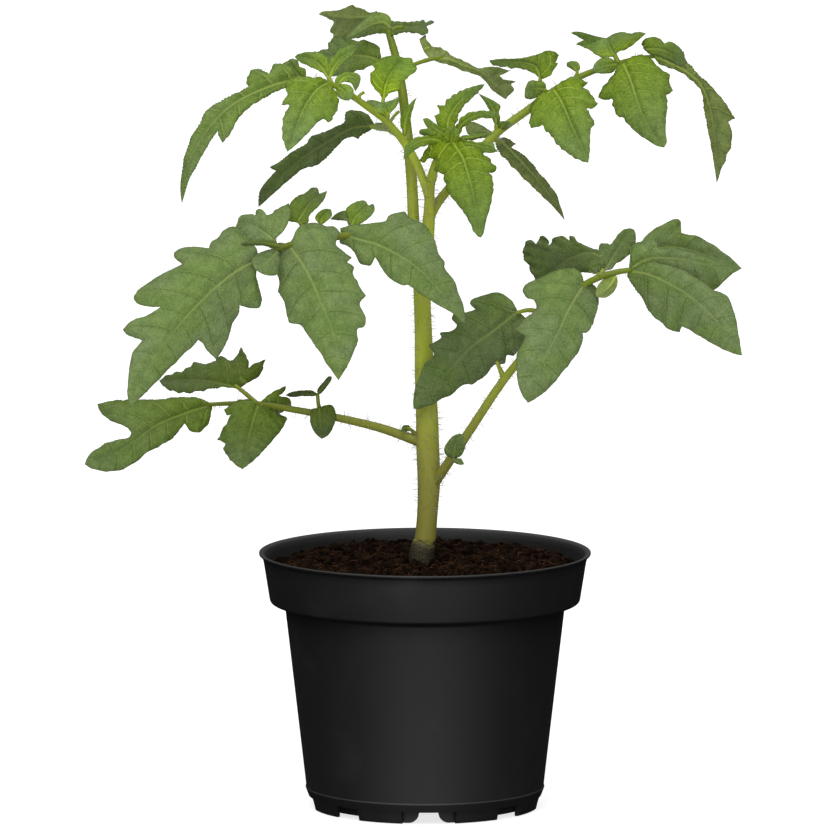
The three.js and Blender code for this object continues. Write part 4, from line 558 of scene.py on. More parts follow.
LEAF_6_LEAFLETS = (
    Leaflet(  # terminal, arched over
        midrib=(82, 273.2, 34.4, 86.6, 271.2, 35.4, 93, 268, 37, 99, 262.6, 39.5, 102.4, 254, 42.5,
            104.2, 242, 45.5, 104.9, 227.4, 48),
        one=(79.6, 274.6, 77.5, 277.5, 78.8, 279.2, 81, 279.4, 82.7, 279.9, 85, 279.1, 86.2, 277.2,
            89.2, 277.8, 91.2, 276.8, 92.8, 274.4, 95.1, 270.2, 98.5, 266.6, 105.8, 259.3,
            108.9, 254.6, 111.8, 250.4, 109.1, 249.4, 110.7, 243.6, 109.9, 239.9, 107.8, 234.7),
        two=(84.4, 270.4, 91.8, 267.4, 95.4, 264.8, 99.4, 260.4, 100.3, 255.1, 101.4, 248.8,
            102.9, 241, 104, 234.2),
        lean=(0.7, -0.5), shows=Face.UNDER,
    ),
    Leaflet(  # its near lobes, upper side up
        midrib=(79.5, 275.6, 32.8, 84, 275.6, 33.4, 89, 273.6, 34.6, 94.2, 270.4, 36),
        one=(78.2, 277.2, 79.2, 279.4, 82.6, 280, 84.8, 279.2, 85.6, 277.6, 87.8, 278.4, 90.4, 277.2,
            92.2, 274.8),
        two=(80.4, 274.2, 83, 273.4, 87.2, 272, 91.6, 269.6),
        lean=(0.2, 0.2), youth=0.45, tone=0.85,
    ),
    Leaflet(  # right, hanging
        midrib=(71.3, 270.4, 30, 73.4, 266, 27, 75.4, 260, 23, 78.2, 252, 18.5, 82, 245.4, 15,
            86, 240, 12),
        one=(70, 270.4, 68.4, 267.6, 65.6, 264, 63, 260.6, 62.6, 258, 64.4, 257.2, 67.2, 257.7,
            67.8, 255, 69.4, 251.4, 71.3, 250.8, 73.6, 247.8, 76.6, 245, 79.8, 242.8, 83.4, 240.6),
        two=(73, 272, 75.4, 273.3, 79.4, 273, 82.4, 271, 85, 268.3, 88.2, 266, 87.8, 264.4,
            88.4, 262.4, 89.2, 260.2, 86.8, 259.2, 87.2, 255.6, 86.8, 250.4, 86.6, 245.7, 87, 242),
        lean=(0.3, 0.1), tone=1.0,
    ),
    Leaflet(  # middle, hanging
        midrib=(46.4, 260.8, 23, 48.2, 258.2, 21, 50.3, 254, 18, 52.9, 247.8, 14, 56, 241, 10,
            58.7, 234.6, 6),
        one=(44.6, 260.4, 41.6, 259.4, 39.6, 257.4, 38, 255, 38, 252, 37.5, 248.4, 38.6, 247.1,
            42.2, 248.3, 43.4, 246, 45.3, 244.6, 47.2, 241.5, 50.2, 238.8, 53.4, 236.5, 56.6, 235),
        two=(47.4, 262.6, 50, 264.4, 53.4, 265.7, 56.4, 264.6, 58.8, 263.4, 56.8, 262, 58.6, 260.8,
            60.4, 258.4, 62.3, 255.8, 60.6, 254.4, 58, 254.2, 59.6, 251.6, 61, 248.8, 59.8, 246.9,
            59.4, 242.4, 59.2, 236.8),
        lean=(-0.2, 0.05),
    ),
    Leaflet(  # V-shaped, pointing back
        midrib=(68.2, 273, 33, 66.6, 276, 39, 65.2, 279.6, 46),
        one=(63.6, 272.6, 58.4, 275.8, 54.2, 277.4, 57, 279, 52.3, 281.6, 54.9, 282, 61.7, 280.3),
        two=(69.4, 274.4, 73.1, 276, 77.2, 279.4, 79.5, 281.2, 76.7, 281.8, 74.1, 281.2, 71, 281.8,
            67.9, 281.2),
        lean=(-0.8, -0.8), youth=0.8,
    ),
    Leaflet(  # bright, folded, pointing left
        midrib=(41.5, 264.6, 26.5, 40, 269, 28.5, 36, 270.8, 32, 30, 271, 37, 23, 271.6, 42),
        one=(39.7, 266.4, 34.8, 268.6, 31, 268.9, 24, 270.2),
        two=(45.2, 266, 46.2, 268.2, 48.1, 270.6, 46.6, 270.8, 48.5, 273.4, 46.9, 274.4, 44.5, 275.2,
            40.2, 273.7, 34.4, 272.4, 27.6, 272.1),
        lean=(0.5, -0.4),
    ),
    Leaflet(  # small bright, in front of the rachis
        midrib=(43.6, 260.9, 24.2, 40.4, 261.4, 21.5, 36, 261.2, 18.5),
        one=(43, 263.4, 40.2, 264.2, 37.3, 264),
        two=(41.6, 259.6, 38.7, 257.6, 36, 258),
        lean=(0.3, 0.3),
    ),
    Leaflet(  # tiny, upright on a stalk
        midrib=(54.8, 267, 28.8, 53.4, 269.4, 29.6, 51, 270.8, 30.6),
        one=(55.8, 269, 54.9, 270.9, 52.6, 271.3),
        two=(52.4, 268.6, 51, 269.6),
        lean=(0.3, 0.3),
    ),
    Leaflet(  # grey-green, long, hanging behind
        midrib=(26.4, 243.2, 22.6, 31, 238.6, 27, 36.6, 232.6, 32, 42.6, 225.4, 37, 47, 219.4, 41,
            50.1, 213.8, 44),
        one=(29, 243.6, 32.9, 241.3, 31.2, 240, 36.4, 236.7, 40.8, 231.4, 47, 223.7, 49.1, 217.7),
        two=(25.6, 240.6, 29.9, 235, 38.6, 226, 46.1, 218.6),
        lean=(0.6, -0.6), youth=0.1, shows=Face.UNDER,
    ),
    Leaflet(  # its left neighbour
        midrib=(26.6, 243, 21, 21.5, 245.8, 21.5, 14.6, 246.8, 23),
        one=(24.6, 245.2, 22.5, 246.8, 18.9, 248.8, 16.1, 249.3, 14.6, 248.2),
        two=(23.9, 243.4, 18.9, 243.9, 15.4, 245),
        lean=(0.8, -0.8), youth=0.1, tone=0.85, shows=Face.UNDER,
    ),
    Leaflet(  # narrow, rising from the node
        midrib=(25.6, 247.6, 17, 25.2, 252, 16, 23.4, 256, 15.4, 18.9, 259.8, 15),
        one=(24.4, 250, 23.2, 253.5, 21.4, 256.6),
        two=(27, 250, 26.6, 252.6, 27, 255.2, 24.2, 257.2),
        lean=(0.4, 0.4),
    ),
    Leaflet(  # small bright at the node
        midrib=(27, 246.4, 16.6, 28.4, 248.4, 14, 30.4, 249.4, 12),
        one=(26.4, 249.2, 28.4, 249.6),
        two=(29, 246.6, 31.4, 248),
        lean=(0.4, 0.4),
    ),
    Leaflet(  # left oval under the V
        midrib=(69.6, 270.2, 31.6, 65, 269.6, 28, 60.1, 267.6, 25),
        one=(66.6, 272.3, 63.2, 272.2, 61, 270.4),
        two=(67.4, 267.3, 63.2, 266.8),
        lean=(0.3, 0.3),
    ),
)

LEAF_6 = LeafPlan(
    name="leaf_6", youth=0.55, tone=1.06, stalk_tone=0.86, pucker=1.5, teeth=0.28, slot=Slot.YOUNG,
    stalks=(
        ((1.4, 214.4, -1.2, 3.6), (4.2, 219.4, 1, 3.4), (8.6, 225.2, 4.5, 3.3), (17, 235.6, 11, 3.2),
            (26, 245.4, 17, 3.1), (37, 253.6, 22, 2.9), (46, 260.4, 26, 2.6), (55, 265.3, 28.5, 2.3),
            (62, 268.2, 30.5, 2.1), (71.5, 271, 32.5, 1.9), (77, 272.4, 33.6, 1.7),
            (82.6, 273, 34.7, 1.3)),
        ((25.4, 244.8, 16.6, 2), (24.8, 243.4, 20, 1.8), (27, 241.6, 24, 1.5)),
        ((42, 257.4, 24.2, 1.8), (41.6, 261, 25.4, 1.6), (41.4, 265, 26.6, 1.4)),
        ((44.6, 259.4, 25.4, 1.6), (42.6, 261.2, 23.5, 1.4)),
        ((54.4, 265, 28.4, 1.2), (54.8, 267.6, 29, 1.1)),
        ((69.5, 270.5, 32, 1.8), (68.2, 273.6, 33, 1.6)),
        ((26, 245.6, 17, 1.8), (25.6, 248.4, 17, 1.5)),
    ),
    leaflets=LEAF_6_LEAFLETS,
)

SHOOT_TIP_LEAFLETS = (
    Leaflet(  # large, hanging in front
        midrib=(9.4, 243, -14, 11.4, 239.8, -17, 13.6, 236.3, -20, 15.2, 231.4, -23.5,
            16.8, 225.7, -27, 18, 219.5, -30.5, 20.2, 207.4, -36),
        one=(7.4, 242.8, 4, 242.4, 1.4, 241.2, 0.2, 239, -1.7, 235.4, -0.4, 234.7, 1.6, 236.2,
            4.6, 235.4, 3.6, 232.4, 4.4, 231, 6.5, 230.8, 7.2, 227.4, 8.2, 223.8, 10.4, 221,
            14.9, 215.1, 18.9, 207.8),
        two=(12.4, 241.8, 15, 241, 18.4, 240.4, 20.8, 237.8, 23.6, 235.2, 25.3, 232.8, 25.6, 231.3,
            23.2, 231.3, 24.4, 228.2, 24.5, 224.6, 23.6, 219, 22, 213.4, 21, 208.6),
        lean=(0.3, 0.3), tone=0.96,
    ),
    Leaflet(  # right arm
        midrib=(9.6, 242.4, -13, 15, 241.4, -16, 20.6, 240.4, -18.5, 26.5, 238.6, -21),
        one=(13.6, 243, 18, 242, 24.6, 241.6, 25.2, 239.8),
        two=(14.5, 239.4, 18.9, 238.6, 23.3, 238),
        lean=(0.3, 0.3),
    ),
    Leaflet(  # thin right arm, edge-on
        midrib=(9.8, 243.2, -13, 17, 243.6, -15, 25.2, 245.2, -17),
        one=(13, 244, 19, 245),
        two=(14, 242.6, 20, 243.4),
        lean=(1.6, 1.6),
    ),
    Leaflet(  # upper, tall
        midrib=(9.2, 243.6, -13, 8.2, 249, -11, 11.4, 255.4, -8.5, 16, 259.4, -6.5, 21.6, 263, -5),
        one=(7.4, 245.2, 5.2, 247.4, 4.4, 249.6, 3.2, 251.2, 5.4, 252.2, 4.5, 255.2, 6.9, 255.3,
            7.8, 257, 11, 259.4, 14.6, 261.2, 20.2, 262.9),
        two=(11, 244.6, 10.8, 247.6, 11.6, 250.4, 12.6, 253.2, 14.2, 255.4, 17.8, 258.8, 20.8, 261.8),
        lean=(0.4, 0.4),
    ),
    Leaflet(  # right, arching
        midrib=(10, 243.4, -13.5, 12.4, 247.4, -15, 15.6, 250.3, -17.5, 20.4, 251.9, -20,
            26.7, 251.2, -22),
        one=(10.8, 246.2, 11.7, 248.6, 12.6, 250.2, 14.6, 252, 18.2, 253.1, 22.5, 253.3, 26.2, 252.4),
        two=(12, 244, 13.4, 246.8, 16.1, 249.1, 19.6, 250.6, 23.9, 250.6),
        lean=(0.4, 0.4),
    ),
    Leaflet(  # left, upper lobes
        midrib=(9.6, 243.2, -12.8, 5, 246, -13.5, -0.9, 250.4, -14),
        one=(8.4, 246.4, 5.4, 247.6, 2.8, 249.4, 0.7, 250.7),
        two=(8, 242, 4.4, 243.4, 0.7, 244.1, -2, 245.2, -2, 246.3, 1, 246.9, -0.2, 248.9),
        lean=(0.3, 0.3),
    ),
    Leaflet(  # smallest, folded in the middle
        midrib=(9.4, 241.6, -14, 9.6, 244.4, -16, 10.6, 247.4, -17),
        one=(7.4, 242.4, 6.8, 244.8, 8.4, 247.2),
        two=(11.8, 242.2, 12.4, 244.2, 12.2, 246.4),
        lean=(-0.3, -0.3), youth=1.0,
    ),
    Leaflet(  # left, low, curling down
        midrib=(7.6, 241.8, -12.4, 1.6, 243, -15, -4.4, 241, -17, -7.8, 236, -18.5),
        one=(4.6, 243.8, -1.7, 244, -4.8, 242.7, -7, 240.3),
        two=(2.7, 241.5, -0.4, 240.6, -3.5, 239.3, -6.4, 236.8),
        lean=(0.4, 0.4),
    ),
)

SHOOT_TIP = LeafPlan(
    name="shoot_tip", youth=0.75, tone=1.06, stalk_tone=1.2, pucker=1.8, teeth=0.5, slot=Slot.YOUNG,
    stalks=(
        ((2.3, 228.4, -4.3, 3.2), (3.2, 232, -6.6, 3.2), (4.8, 236, -9, 3.2), (8, 241.4, -12, 2.6),
            (9.2, 245.4, -13, 1.5)),
    ),
    leaflets=SHOOT_TIP_LEAFLETS,
)

LEAF_PLANS = (LEAF_1, LEAF_2, LEAF_3, LEAF_4, LEAF_5, LEAF_6, SHOOT_TIP)


# ---- the elevation and its curves -----------------------------------------------------------


class Sight:
    """The line of sight that the plant is drawn along, and the camera that stands on it."""

    EYE = np.array([-3.6, -4952.0, 833.5])
    TARGET = np.array([-3.6, 0.0, 142.8])
    LENS = 600.9
    SENSOR = 36.0

    @classmethod
    def place(cls, drawn: np.ndarray) -> np.ndarray:
        """Puts drawn points into space.

        Args:
            drawn: Rows of across, up and back, in mm.

        Returns:
            Rows of x, y and z, in mm. Each lies on the line of sight through (across, up).
        """
        reach = drawn[:, 2] / -cls.EYE[1]
        x = drawn[:, 0] + (drawn[:, 0] - cls.EYE[0]) * reach
        z = drawn[:, 1] + (drawn[:, 1] - cls.EYE[2]) * reach
        return np.column_stack([x, drawn[:, 2], z])


def flowing(points: np.ndarray, spacing: float) -> np.ndarray:
    """Draws a smooth curve through points.

    Args:
        points: At least two points, one row each.
        spacing: The longest step along the curve.

    Returns:
        Points along a centripetal Catmull-Rom curve, ends included.
    """
    ends = np.vstack([2 * points[0] - points[1], points, 2 * points[-1] - points[-2]])
    rows = [points[:1]]
    for a, b, c, d in zip(ends, ends[1:], ends[2:], ends[3:]):
        steps = ((a, b), (b, c), (c, d))
        before, here, after = (max(np.linalg.norm(q - p) ** 0.5, 1e-4) for p, q in steps)
        leave = ((b - a) / before - (c - a) / (before + here) + (c - b) / here) * here
        arrive = ((c - b) / here - (d - b) / (here + after) + (d - c) / after) * here
        count = max(1, math.ceil(np.linalg.norm(c - b) / spacing))
        t = (np.arange(1, count + 1) / count)[:, None]
        hermite = (2 * t**3 - 3 * t**2 + 1) * b + (t**3 - 2 * t**2 + t) * leave
        rows.append(hermite + (3 * t**2 - 2 * t**3) * c + (t**3 - t**2) * arrive)
    return np.vstack(rows)


def margin(points: np.ndarray, spacing: float, sharp: float) -> np.ndarray:
    """Draws a leaf's edge: round at its lobes and pointed in the notches between them.

    Args:
        points: The edge's points, one row each.
        spacing: The longest step along the edge.
        sharp: The turn, in radians, from which a point stays a corner.

    Returns:
        Points along the edge, ends included.
    """
    steps = np.diff(points, axis=0)
    heading = np.unwrap(np.arctan2(steps[:, 1], steps[:, 0]))
    corners = [0, *(np.flatnonzero(np.abs(np.diff(heading)) > sharp) + 1), len(points) - 1]
    rows = [flowing(points[a : b + 1], spacing)[1:] for a, b in zip(corners, corners[1:])]
    return np.vstack([points[:1], *rows])


def inside(points: np.ndarray, outline: np.ndarray) -> np.ndarray:
    """Tells which points lie inside a closed outline, by counting crossings.

    Args:
        points: The points, one row each.
        outline: The outline's points in order.

    Returns:
        True for each point that lies inside.
    """
    x, y = points[:, 0:1], points[:, 1:2]
    ax, ay = outline[:, 0], outline[:, 1]
    bx, by = np.roll(ax, -1), np.roll(ay, -1)
    rise = np.where(by == ay, TINY, by - ay)
    crossed = ((ay > y) != (by > y)) & (x < (bx - ax) * (y - ay) / rise + ax)
    return crossed.sum(axis=1) % 2 == 1


# ---- meshes ---------------------------------------------------------------------------------


def around(count: int) -> np.ndarray:
    """Angles of even steps round a whole turn."""
    return 2 * np.pi * np.arange(count) / count


def tube(rings: int, sides: int) -> Faces:
    """Joins rings of points, one after the other, with four-sided faces.

    Args:
        rings: How many rings there are.
        sides: How many points each ring has.

    Returns:
        The faces.
    """
    faces = []
    for near in range(0, (rings - 1) * sides, sides):
        for k in range(sides):
            nxt = (k + 1) % sides
            faces.append((near + k, near + nxt, near + sides + nxt, near + sides + k))
    return faces


def turned_over(faces: Faces) -> Faces:
    """Lets four-sided faces look the other way."""
    return [(a, d, c, b) for a, b, c, d in faces]


def rod(rings: int, sides: int) -> Faces:
    """Joins rings of points like `tube`, and closes both ends."""
    last = range((rings - 1) * sides, rings * sides)
    return [*tube(rings, sides), tuple(reversed(range(sides))), tuple(last)]


def linked(name: str, data: bpy.types.ID) -> bpy.types.Object:
    """Makes an object at the origin and links it to the scene.

    Args:
        name: The object's name.
        data: Its mesh, lamp or camera.

    Returns:
        The object.
    """
    made = bpy.data.objects.new(name, data)
    bpy.context.scene.collection.objects.link(made)
    return made


class Shape:
    """A mesh in the making: points in mm, faces, and one number of each kind for every point."""

    def __init__(self) -> None:
        """Starts empty."""
        self.points: list[np.ndarray] = []
        self.faces: Faces = []
        self.finish: list[int] = []
        self.marks: dict[str, list[np.ndarray]] = {}
        self.count = 0

    def add(
        self,
        points: np.ndarray,
        faces: Faces,
        finish: int = 0,
        **marks: np.ndarray | float,
    ) -> None:
        """Adds a part.

        Args:
            points: Rows of x, y and z, in mm.
            faces: Faces that count their points from 0.
            finish: The index of the part's material.
            marks: Numbers kept with the points, by name.
        """
        for name in {**self.marks, **marks}:
            kept = self.marks.setdefault(name, [np.zeros(self.count)])
            kept.append(np.broadcast_to(np.asarray(marks.get(name, 0.0), float), len(points)))
        self.points.append(points)
        self.faces.extend(tuple(int(i) + self.count for i in face) for face in faces)
        self.finish.extend([finish] * len(faces))
        self.count += len(points)

    def object(self, name: str, materials: list[bpy.types.Material]) -> bpy.types.Object:
        """Makes a Blender object at the origin.

        Args:
            name: The object's name.
            materials: Its materials, in the order of `finish`.

        Returns:
            The object, linked to the scene and smooth all over.
        """
        mesh = bpy.data.meshes.new(name)
        mesh.from_pydata((np.vstack(self.points) * MM).tolist(), [], self.faces)
        for material in materials:
            mesh.materials.append(material)
        mesh.polygons.foreach_set("material_index", self.finish)
        mesh.polygons.foreach_set("use_smooth", [True] * len(self.faces))
        for mark, values in self.marks.items():
            attribute = mesh.attributes.new(mark, "FLOAT", "POINT")
            attribute.data.foreach_set("value", np.concatenate(values).astype(np.float32))
        mesh.validate()
        return linked(name, mesh)


def baked(source: bpy.types.Object, name: str) -> bpy.types.Object:
    """Turns an object with modifiers into a plain mesh object.

    Args:
        source: The object, which is removed.
        name: The new object's name.

    Returns:
        The plain object.
    """
    graph = bpy.context.evaluated_depsgraph_get()
    mesh = bpy.data.meshes.new_from_object(source.evaluated_get(graph), depsgraph=graph)
    mesh.name = name
    bpy.data.objects.remove(source)
    return linked(name, mesh)


def fit(piece: bpy.types.Object, slot: Slot, *nodes: str) -> None:
    """Lets a finished piece ride on the plant and stand for CAD nodes.

    Args:
        piece: The piece.
        slot: The slot that its finish is from. It is not used.
        nodes: The CAD nodes that it replaces.
    """
    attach(piece, BODY)
    if nodes:
        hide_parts(*nodes)
    LOG.info("%s: %d faces", piece.name, len(piece.data.polygons))


# ---- materials ------------------------------------------------------------------------------


class Graph:
    """A node tree, built a node at a time."""

    def __init__(self, tree: bpy.types.NodeTree) -> None:
        """Takes the tree."""
        self.tree = tree

    def join(self, end: Socket, value: object) -> None:
        """Links a socket to an input, or gives the input a plain value.

        Args:
            end: The input.
            value: The socket or the value.
        """
        if isinstance(value, Socket):
            self.tree.links.new(value, end)
        else:
            end.default_value = value

    def node(self, kind: str, inputs: dict[str | int, object], **settings: object) -> bpy.types.Node:
        """Adds a node.

        Args:
            kind: The node's type.
            inputs: Values or sockets by input name or number.
            settings: The node's own properties.

        Returns:
            The node.
        """
        made = self.tree.nodes.new(kind)
        for key, value in settings.items():
            setattr(made, key, value)
        for key, value in inputs.items():
            self.join(made.inputs[key], value)
        return made


class Paint(Graph):
    """A material's node graph."""

    def __init__(self, name: str, roughness: float, specular: float) -> None:
        """Makes a material with one Principled shader.

        Args:
            name: The material's name.
            roughness: The shader's roughness.
            specular: The shader's specular level.
        """
        self.material = bpy.data.materials.new(name)
        self.material.use_nodes = True
        super().__init__(self.material.node_tree)
        self.shader = self.tree.nodes["Principled BSDF"]
        self.give({"Roughness": roughness, "Specular IOR Level": specular})
        self.place = self.node("ShaderNodeTexCoord", {}).outputs["Object"]

    def give(self, inputs: dict[str, object]) -> None:
        """Gives the shader's inputs values or sockets."""
        for key, value in inputs.items():
            self.join(self.shader.inputs[key], value)

    def mark(self, name: str) -> Socket:
        """Reads a number kept with the mesh's points."""
        return self.node("ShaderNodeAttribute", {}, attribute_name=name).outputs["Fac"]

    def math(self, operation: str, *values: object) -> Socket:
        """Works out a number from one, two or three others."""
        return self.node("ShaderNodeMath", dict(enumerate(values)), operation=operation).outputs[0]

    def times(self, first: object, second: object) -> Socket:
        """Multiplies two numbers."""
        return self.math("MULTIPLY", first, second)

    def line(self, value: object, factor: object, start: object) -> Socket:
        """Multiplies a number by a factor and adds a start."""
        return self.math("MULTIPLY_ADD", value, factor, start)

    def apart(self, first: object, second: object) -> Socket:
        """Tells how far two numbers are from each other."""
        return self.math("ABSOLUTE", self.math("SUBTRACT", first, second))

    def noise(self, scale: float, detail: float = 3.0, stretch: Triple = (1, 1, 1)) -> Socket:
        """Makes cloudy noise on object coordinates.

        Args:
            scale: How many clouds there are to the metre.
            detail: How many finer layers they have.
            stretch: The coordinates' scale, less than 1 where the clouds are drawn out.

        Returns:
            The noise, from 0 to 1.
        """
        placed = self.node("ShaderNodeMapping", {"Vector": self.place, "Scale": stretch})
        inputs = {"Vector": placed.outputs[0], "Scale": scale, "Detail": detail}
        return self.node("ShaderNodeTexNoise", inputs).outputs["Fac"]

    def cells(self, scale: float, feature: str = "DISTANCE_TO_EDGE") -> Socket:
        """Distance in a cell pattern on object coordinates, with `scale` cells to the metre."""
        inputs = {"Vector": self.place, "Scale": scale}
        return self.node("ShaderNodeTexVoronoi", inputs, feature=feature).outputs["Distance"]

    def between(self, value: object, low: float, high: float) -> Socket:
        """Runs smoothly from 0 where a number is `low` to 1 where it is `high`."""
        inputs = {"Value": value, "From Min": low, "From Max": high}
        return self.node("ShaderNodeMapRange", inputs, interpolation_type="SMOOTHSTEP").outputs[0]

    def mix(self, amount: object, first: object, second: object, blend: str = "MIX") -> Socket:
        """Mixes two colours.

        Args:
            amount: How much of the second colour there is, from 0 to 1.
            first: The first colour or its socket.
            second: The second colour or its socket.
            blend: The kind of mix.

        Returns:
            The mixed colour.
        """
        inputs = {0: amount}
        for key, colour in ((6, first), (7, second)):
            inputs[key] = (*colour, 1.0) if isinstance(colour, tuple) else colour
        return self.node("ShaderNodeMix", inputs, data_type="RGBA", blend_type=blend).outputs[2]

    def lay(self, skin: object, colour: object, amount: object, depth: object) -> Socket:
        """Lays a colour on another, as deep as an amount times a depth."""
        return self.mix(self.times(amount, depth), skin, colour)

    def tint(self, skin: object, colour: object) -> Socket:
        """Multiplies two colours."""
        return self.mix(1.0, skin, colour, "MULTIPLY")

    def uneven(self, skin: object, amount: object, pair: tuple[Colour, Colour]) -> Socket:
        """Multiplies a colour by a tint that runs from one of a pair to the other."""
        return self.tint(skin, self.mix(amount, *pair))

    def shaded(self, skin: object, tone: Socket) -> Socket:
        """Multiplies a colour by a grey."""
        return self.tint(skin, self.node("ShaderNodeCombineXYZ", {0: tone, 1: tone, 2: tone}).outputs[0])

    def height(self) -> Socket:
        """Reads how high a point is, in mm."""
        split = self.node("ShaderNodeSeparateXYZ", {0: self.place})
        return self.math("DIVIDE", split.outputs["Z"], MM)

    def bump(self, relief: object, depth: float, after: object | None = None) -> Socket:
        """Turns relief into a bumped normal.

        Args:
            relief: The relief, from 0 to 1.
            depth: How deep it is, in mm.
            after: The normal that is bumped, if it isn't the plain one.

        Returns:
            The normal.
        """
        inputs = {"Height": relief, "Strength": 1.0, "Distance": depth * MM}
        if after is not None:
            inputs["Normal"] = after
        return self.node("ShaderNodeBump", inputs).outputs[0]

    def done(
        self, colour: object, normal: object | None = None, roughness: object | None = None
    ) -> bpy.types.Material:
        """Joins colour, normal and roughness to the shader.

        Args:
            colour: The colour's socket.
            normal: The bumped normal's socket.
            roughness: The roughness's socket.

        Returns:
            The material.
        """
        inputs = {"Base Color": colour, "Normal": normal, "Roughness": roughness}
        self.give({key: value for key, value in inputs.items() if value is not None})
        return self.material


@dataclass(frozen=True)
class LeafTissue:
    """The skin of a leaf: deep green when grown, yellow-green when young, greyer underneath.

    Pairs of colours are the tints of the darkest and the lightest parts. The puff pair is painted
    shade in the grooves between the quilted pillows and painted light on their tops. The shade tint
    is painted shade beside each side vein and along the small cross veins, and it also darkens the
    border. A depth says how much of a colour lies on the skin, and the young depths are what youth
    adds. A span runs from where a look starts to where it is full: in mm from the midrib, in shares
    of the way from it to the rim or from base to tip, or in shares of the way from one vein to the
    next.
    """

    grown: Colour = (0.092, 0.160, 0.019)
    bloom: Colour = (0.116, 0.164, 0.068)
    young: Colour = (0.116, 0.186, 0.004)
    gleam: Colour = (0.75, 1.0, 0.35)
    under: Colour = (0.120, 0.152, 0.046)
    rib: Colour = (0.235, 0.290, 0.085)
    young_rib: Colour = (0.300, 0.400, 0.040)
    # Painted shade: the tint that darkens the skin beside the veins, along the small cross veins and at the
    # border.
    shade: Colour = (0.58, 0.66, 0.52)
    blotches: tuple[Colour, Colour] = ((0.82, 0.84, 0.80), (1.13, 1.10, 1.10))
    grains: tuple[Colour, Colour] = ((0.82, 0.85, 0.80), (1.18, 1.14, 1.20))
    # Painted shade in the grooves between the quilted pillows and painted light on their tops.
    puff_shading: tuple[Colour, Colour] = ((0.74, 0.77, 0.72), (1.11, 1.10, 1.12))
    vein_width: float = 0.032
    young_vein_width: float = 0.06
    rib_width: float = 0.50
    rib_taper: float = 0.62
    under_depth: float = 0.85
    net_depth: float = 0.20
    shadow_depth: float = 0.95
    young_shadow: float = -0.85
    cross_depth: float = 0.22
    vein_depth: float = 0.36
    young_vein_depth: float = 0.42
    midrib_depth: float = 0.60
    border_depth: float = 0.7
    cloud_scale: float = 70.0
    blotch_scale: float = 260.0
    grain_scale: float = 1500.0
    net_scale: float = 560.0
    contrast: Span = (0.30, 0.70)
    off_midrib: Span = (0.4, 1.4)
    off_rim: Span = (0.99, 0.80)
    shadow_span: Span = (0.14, 0.01)
    crossing: Span = (0.40, 0.5)
    net: Span = (0.11, 0.0)
    midrib: Span = (1.25, 0.45)
    to_base: Span = (1.1, 0.0)
    puff_shading_span: Span = (-0.8, 0.4)
    border: Span = (0.94, 1.0)
    sheen: float = 0.04
    bump: float = 0.12

    def material(self) -> bpy.types.Material:
        """Makes the material.

        Returns:
            The material.
        """
        paint = Paint("leaf_tissue", 0.55, 0.22)
        paint.give({"Specular Tint": (*self.gleam, 1.0), "Sheen Weight": self.sheen})
        paint.give({"Sheen Roughness": 0.5})
        youth, tone, under = (paint.mark(name) for name in ("youth", "tone", "under"))
        rib, rim, along = (paint.mark(name) for name in ("rib", "rim", "along"))
        cloud = paint.noise(self.cloud_scale, 4.0)
        blotch = paint.noise(self.blotch_scale, 3.0)
        speck = paint.noise(self.grain_scale, 2.0)
        patches = paint.line(paint.between(cloud, *self.contrast), 0.6, 0.5)
        skin = paint.lay(self.grown, self.bloom, paint.mark("frost"), patches)
        skin = paint.mix(youth, skin, self.young)
        skin = paint.lay(skin, self.under, under, self.under_depth)

        # The vein mark is whole on a side vein, and the cross mark on a small vein between two.
        phase = paint.math("FRACT", paint.mark("vein"))
        off = paint.line(youth, self.young_vein_width, paint.apart(phase, 0.5))
        open_skin = paint.times(paint.between(rib, *self.off_midrib), paint.between(rim, *self.off_rim))
        rib_skin = paint.mix(youth, self.rib, self.young_rib)
        lateral = paint.times(paint.between(off, 0.5 - self.vein_width, 0.5), open_skin)
        calm = paint.times(paint.line(youth, self.young_shadow, 1.0), open_skin)
        shadow = paint.times(paint.between(phase, *self.shadow_span), calm)
        cross = paint.apart(paint.math("FRACT", paint.mark("cross")), 0.5)
        cross = paint.times(paint.between(cross, *self.crossing), open_skin)
        net = paint.between(paint.cells(self.net_scale), *self.net)
        width = paint.line(along, -self.rib_taper * self.rib_width, self.rib_width)
        midrib = paint.between(paint.math("DIVIDE", rib, width), *self.midrib)
        midrib = paint.times(midrib, paint.between(along, *self.to_base))

        skin = paint.uneven(skin, paint.between(blotch, *self.contrast), self.blotches)
        skin = paint.uneven(skin, paint.between(speck, *self.contrast), self.grains)
        # Painted shade and light: darker in the grooves between the quilted pillows, lighter on their tops.
        skin = paint.uneven(skin, paint.between(paint.mark("quilt"), *self.puff_shading_span), self.puff_shading)
        skin = paint.lay(skin, rib_skin, net, self.net_depth)
        # Painted shade: the shade tint darkens a thin line beside each side vein and along the small cross
        # veins, and darkens the border.
        deep = paint.tint(skin, self.shade)
        skin = paint.lay(skin, deep, shadow, self.shadow_depth)
        skin = paint.lay(skin, deep, cross, self.cross_depth)
        lift = paint.line(youth, self.young_vein_depth, self.vein_depth)
        skin = paint.lay(skin, rib_skin, lateral, lift)
        skin = paint.lay(skin, rib_skin, midrib, self.midrib_depth)
        skin = paint.lay(skin, deep, paint.between(rim, *self.border), self.border_depth)
        # Painted shade and light in part: the tone darkens blades that lie behind others or edge-on, and
        # lightens some others.
        skin = paint.shaded(skin, tone)

        relief = paint.line(net, -0.7, paint.times(speck, 0.8))
        return paint.done(skin, paint.bump(relief, self.bump), paint.line(cloud, 0.14, 0.46))


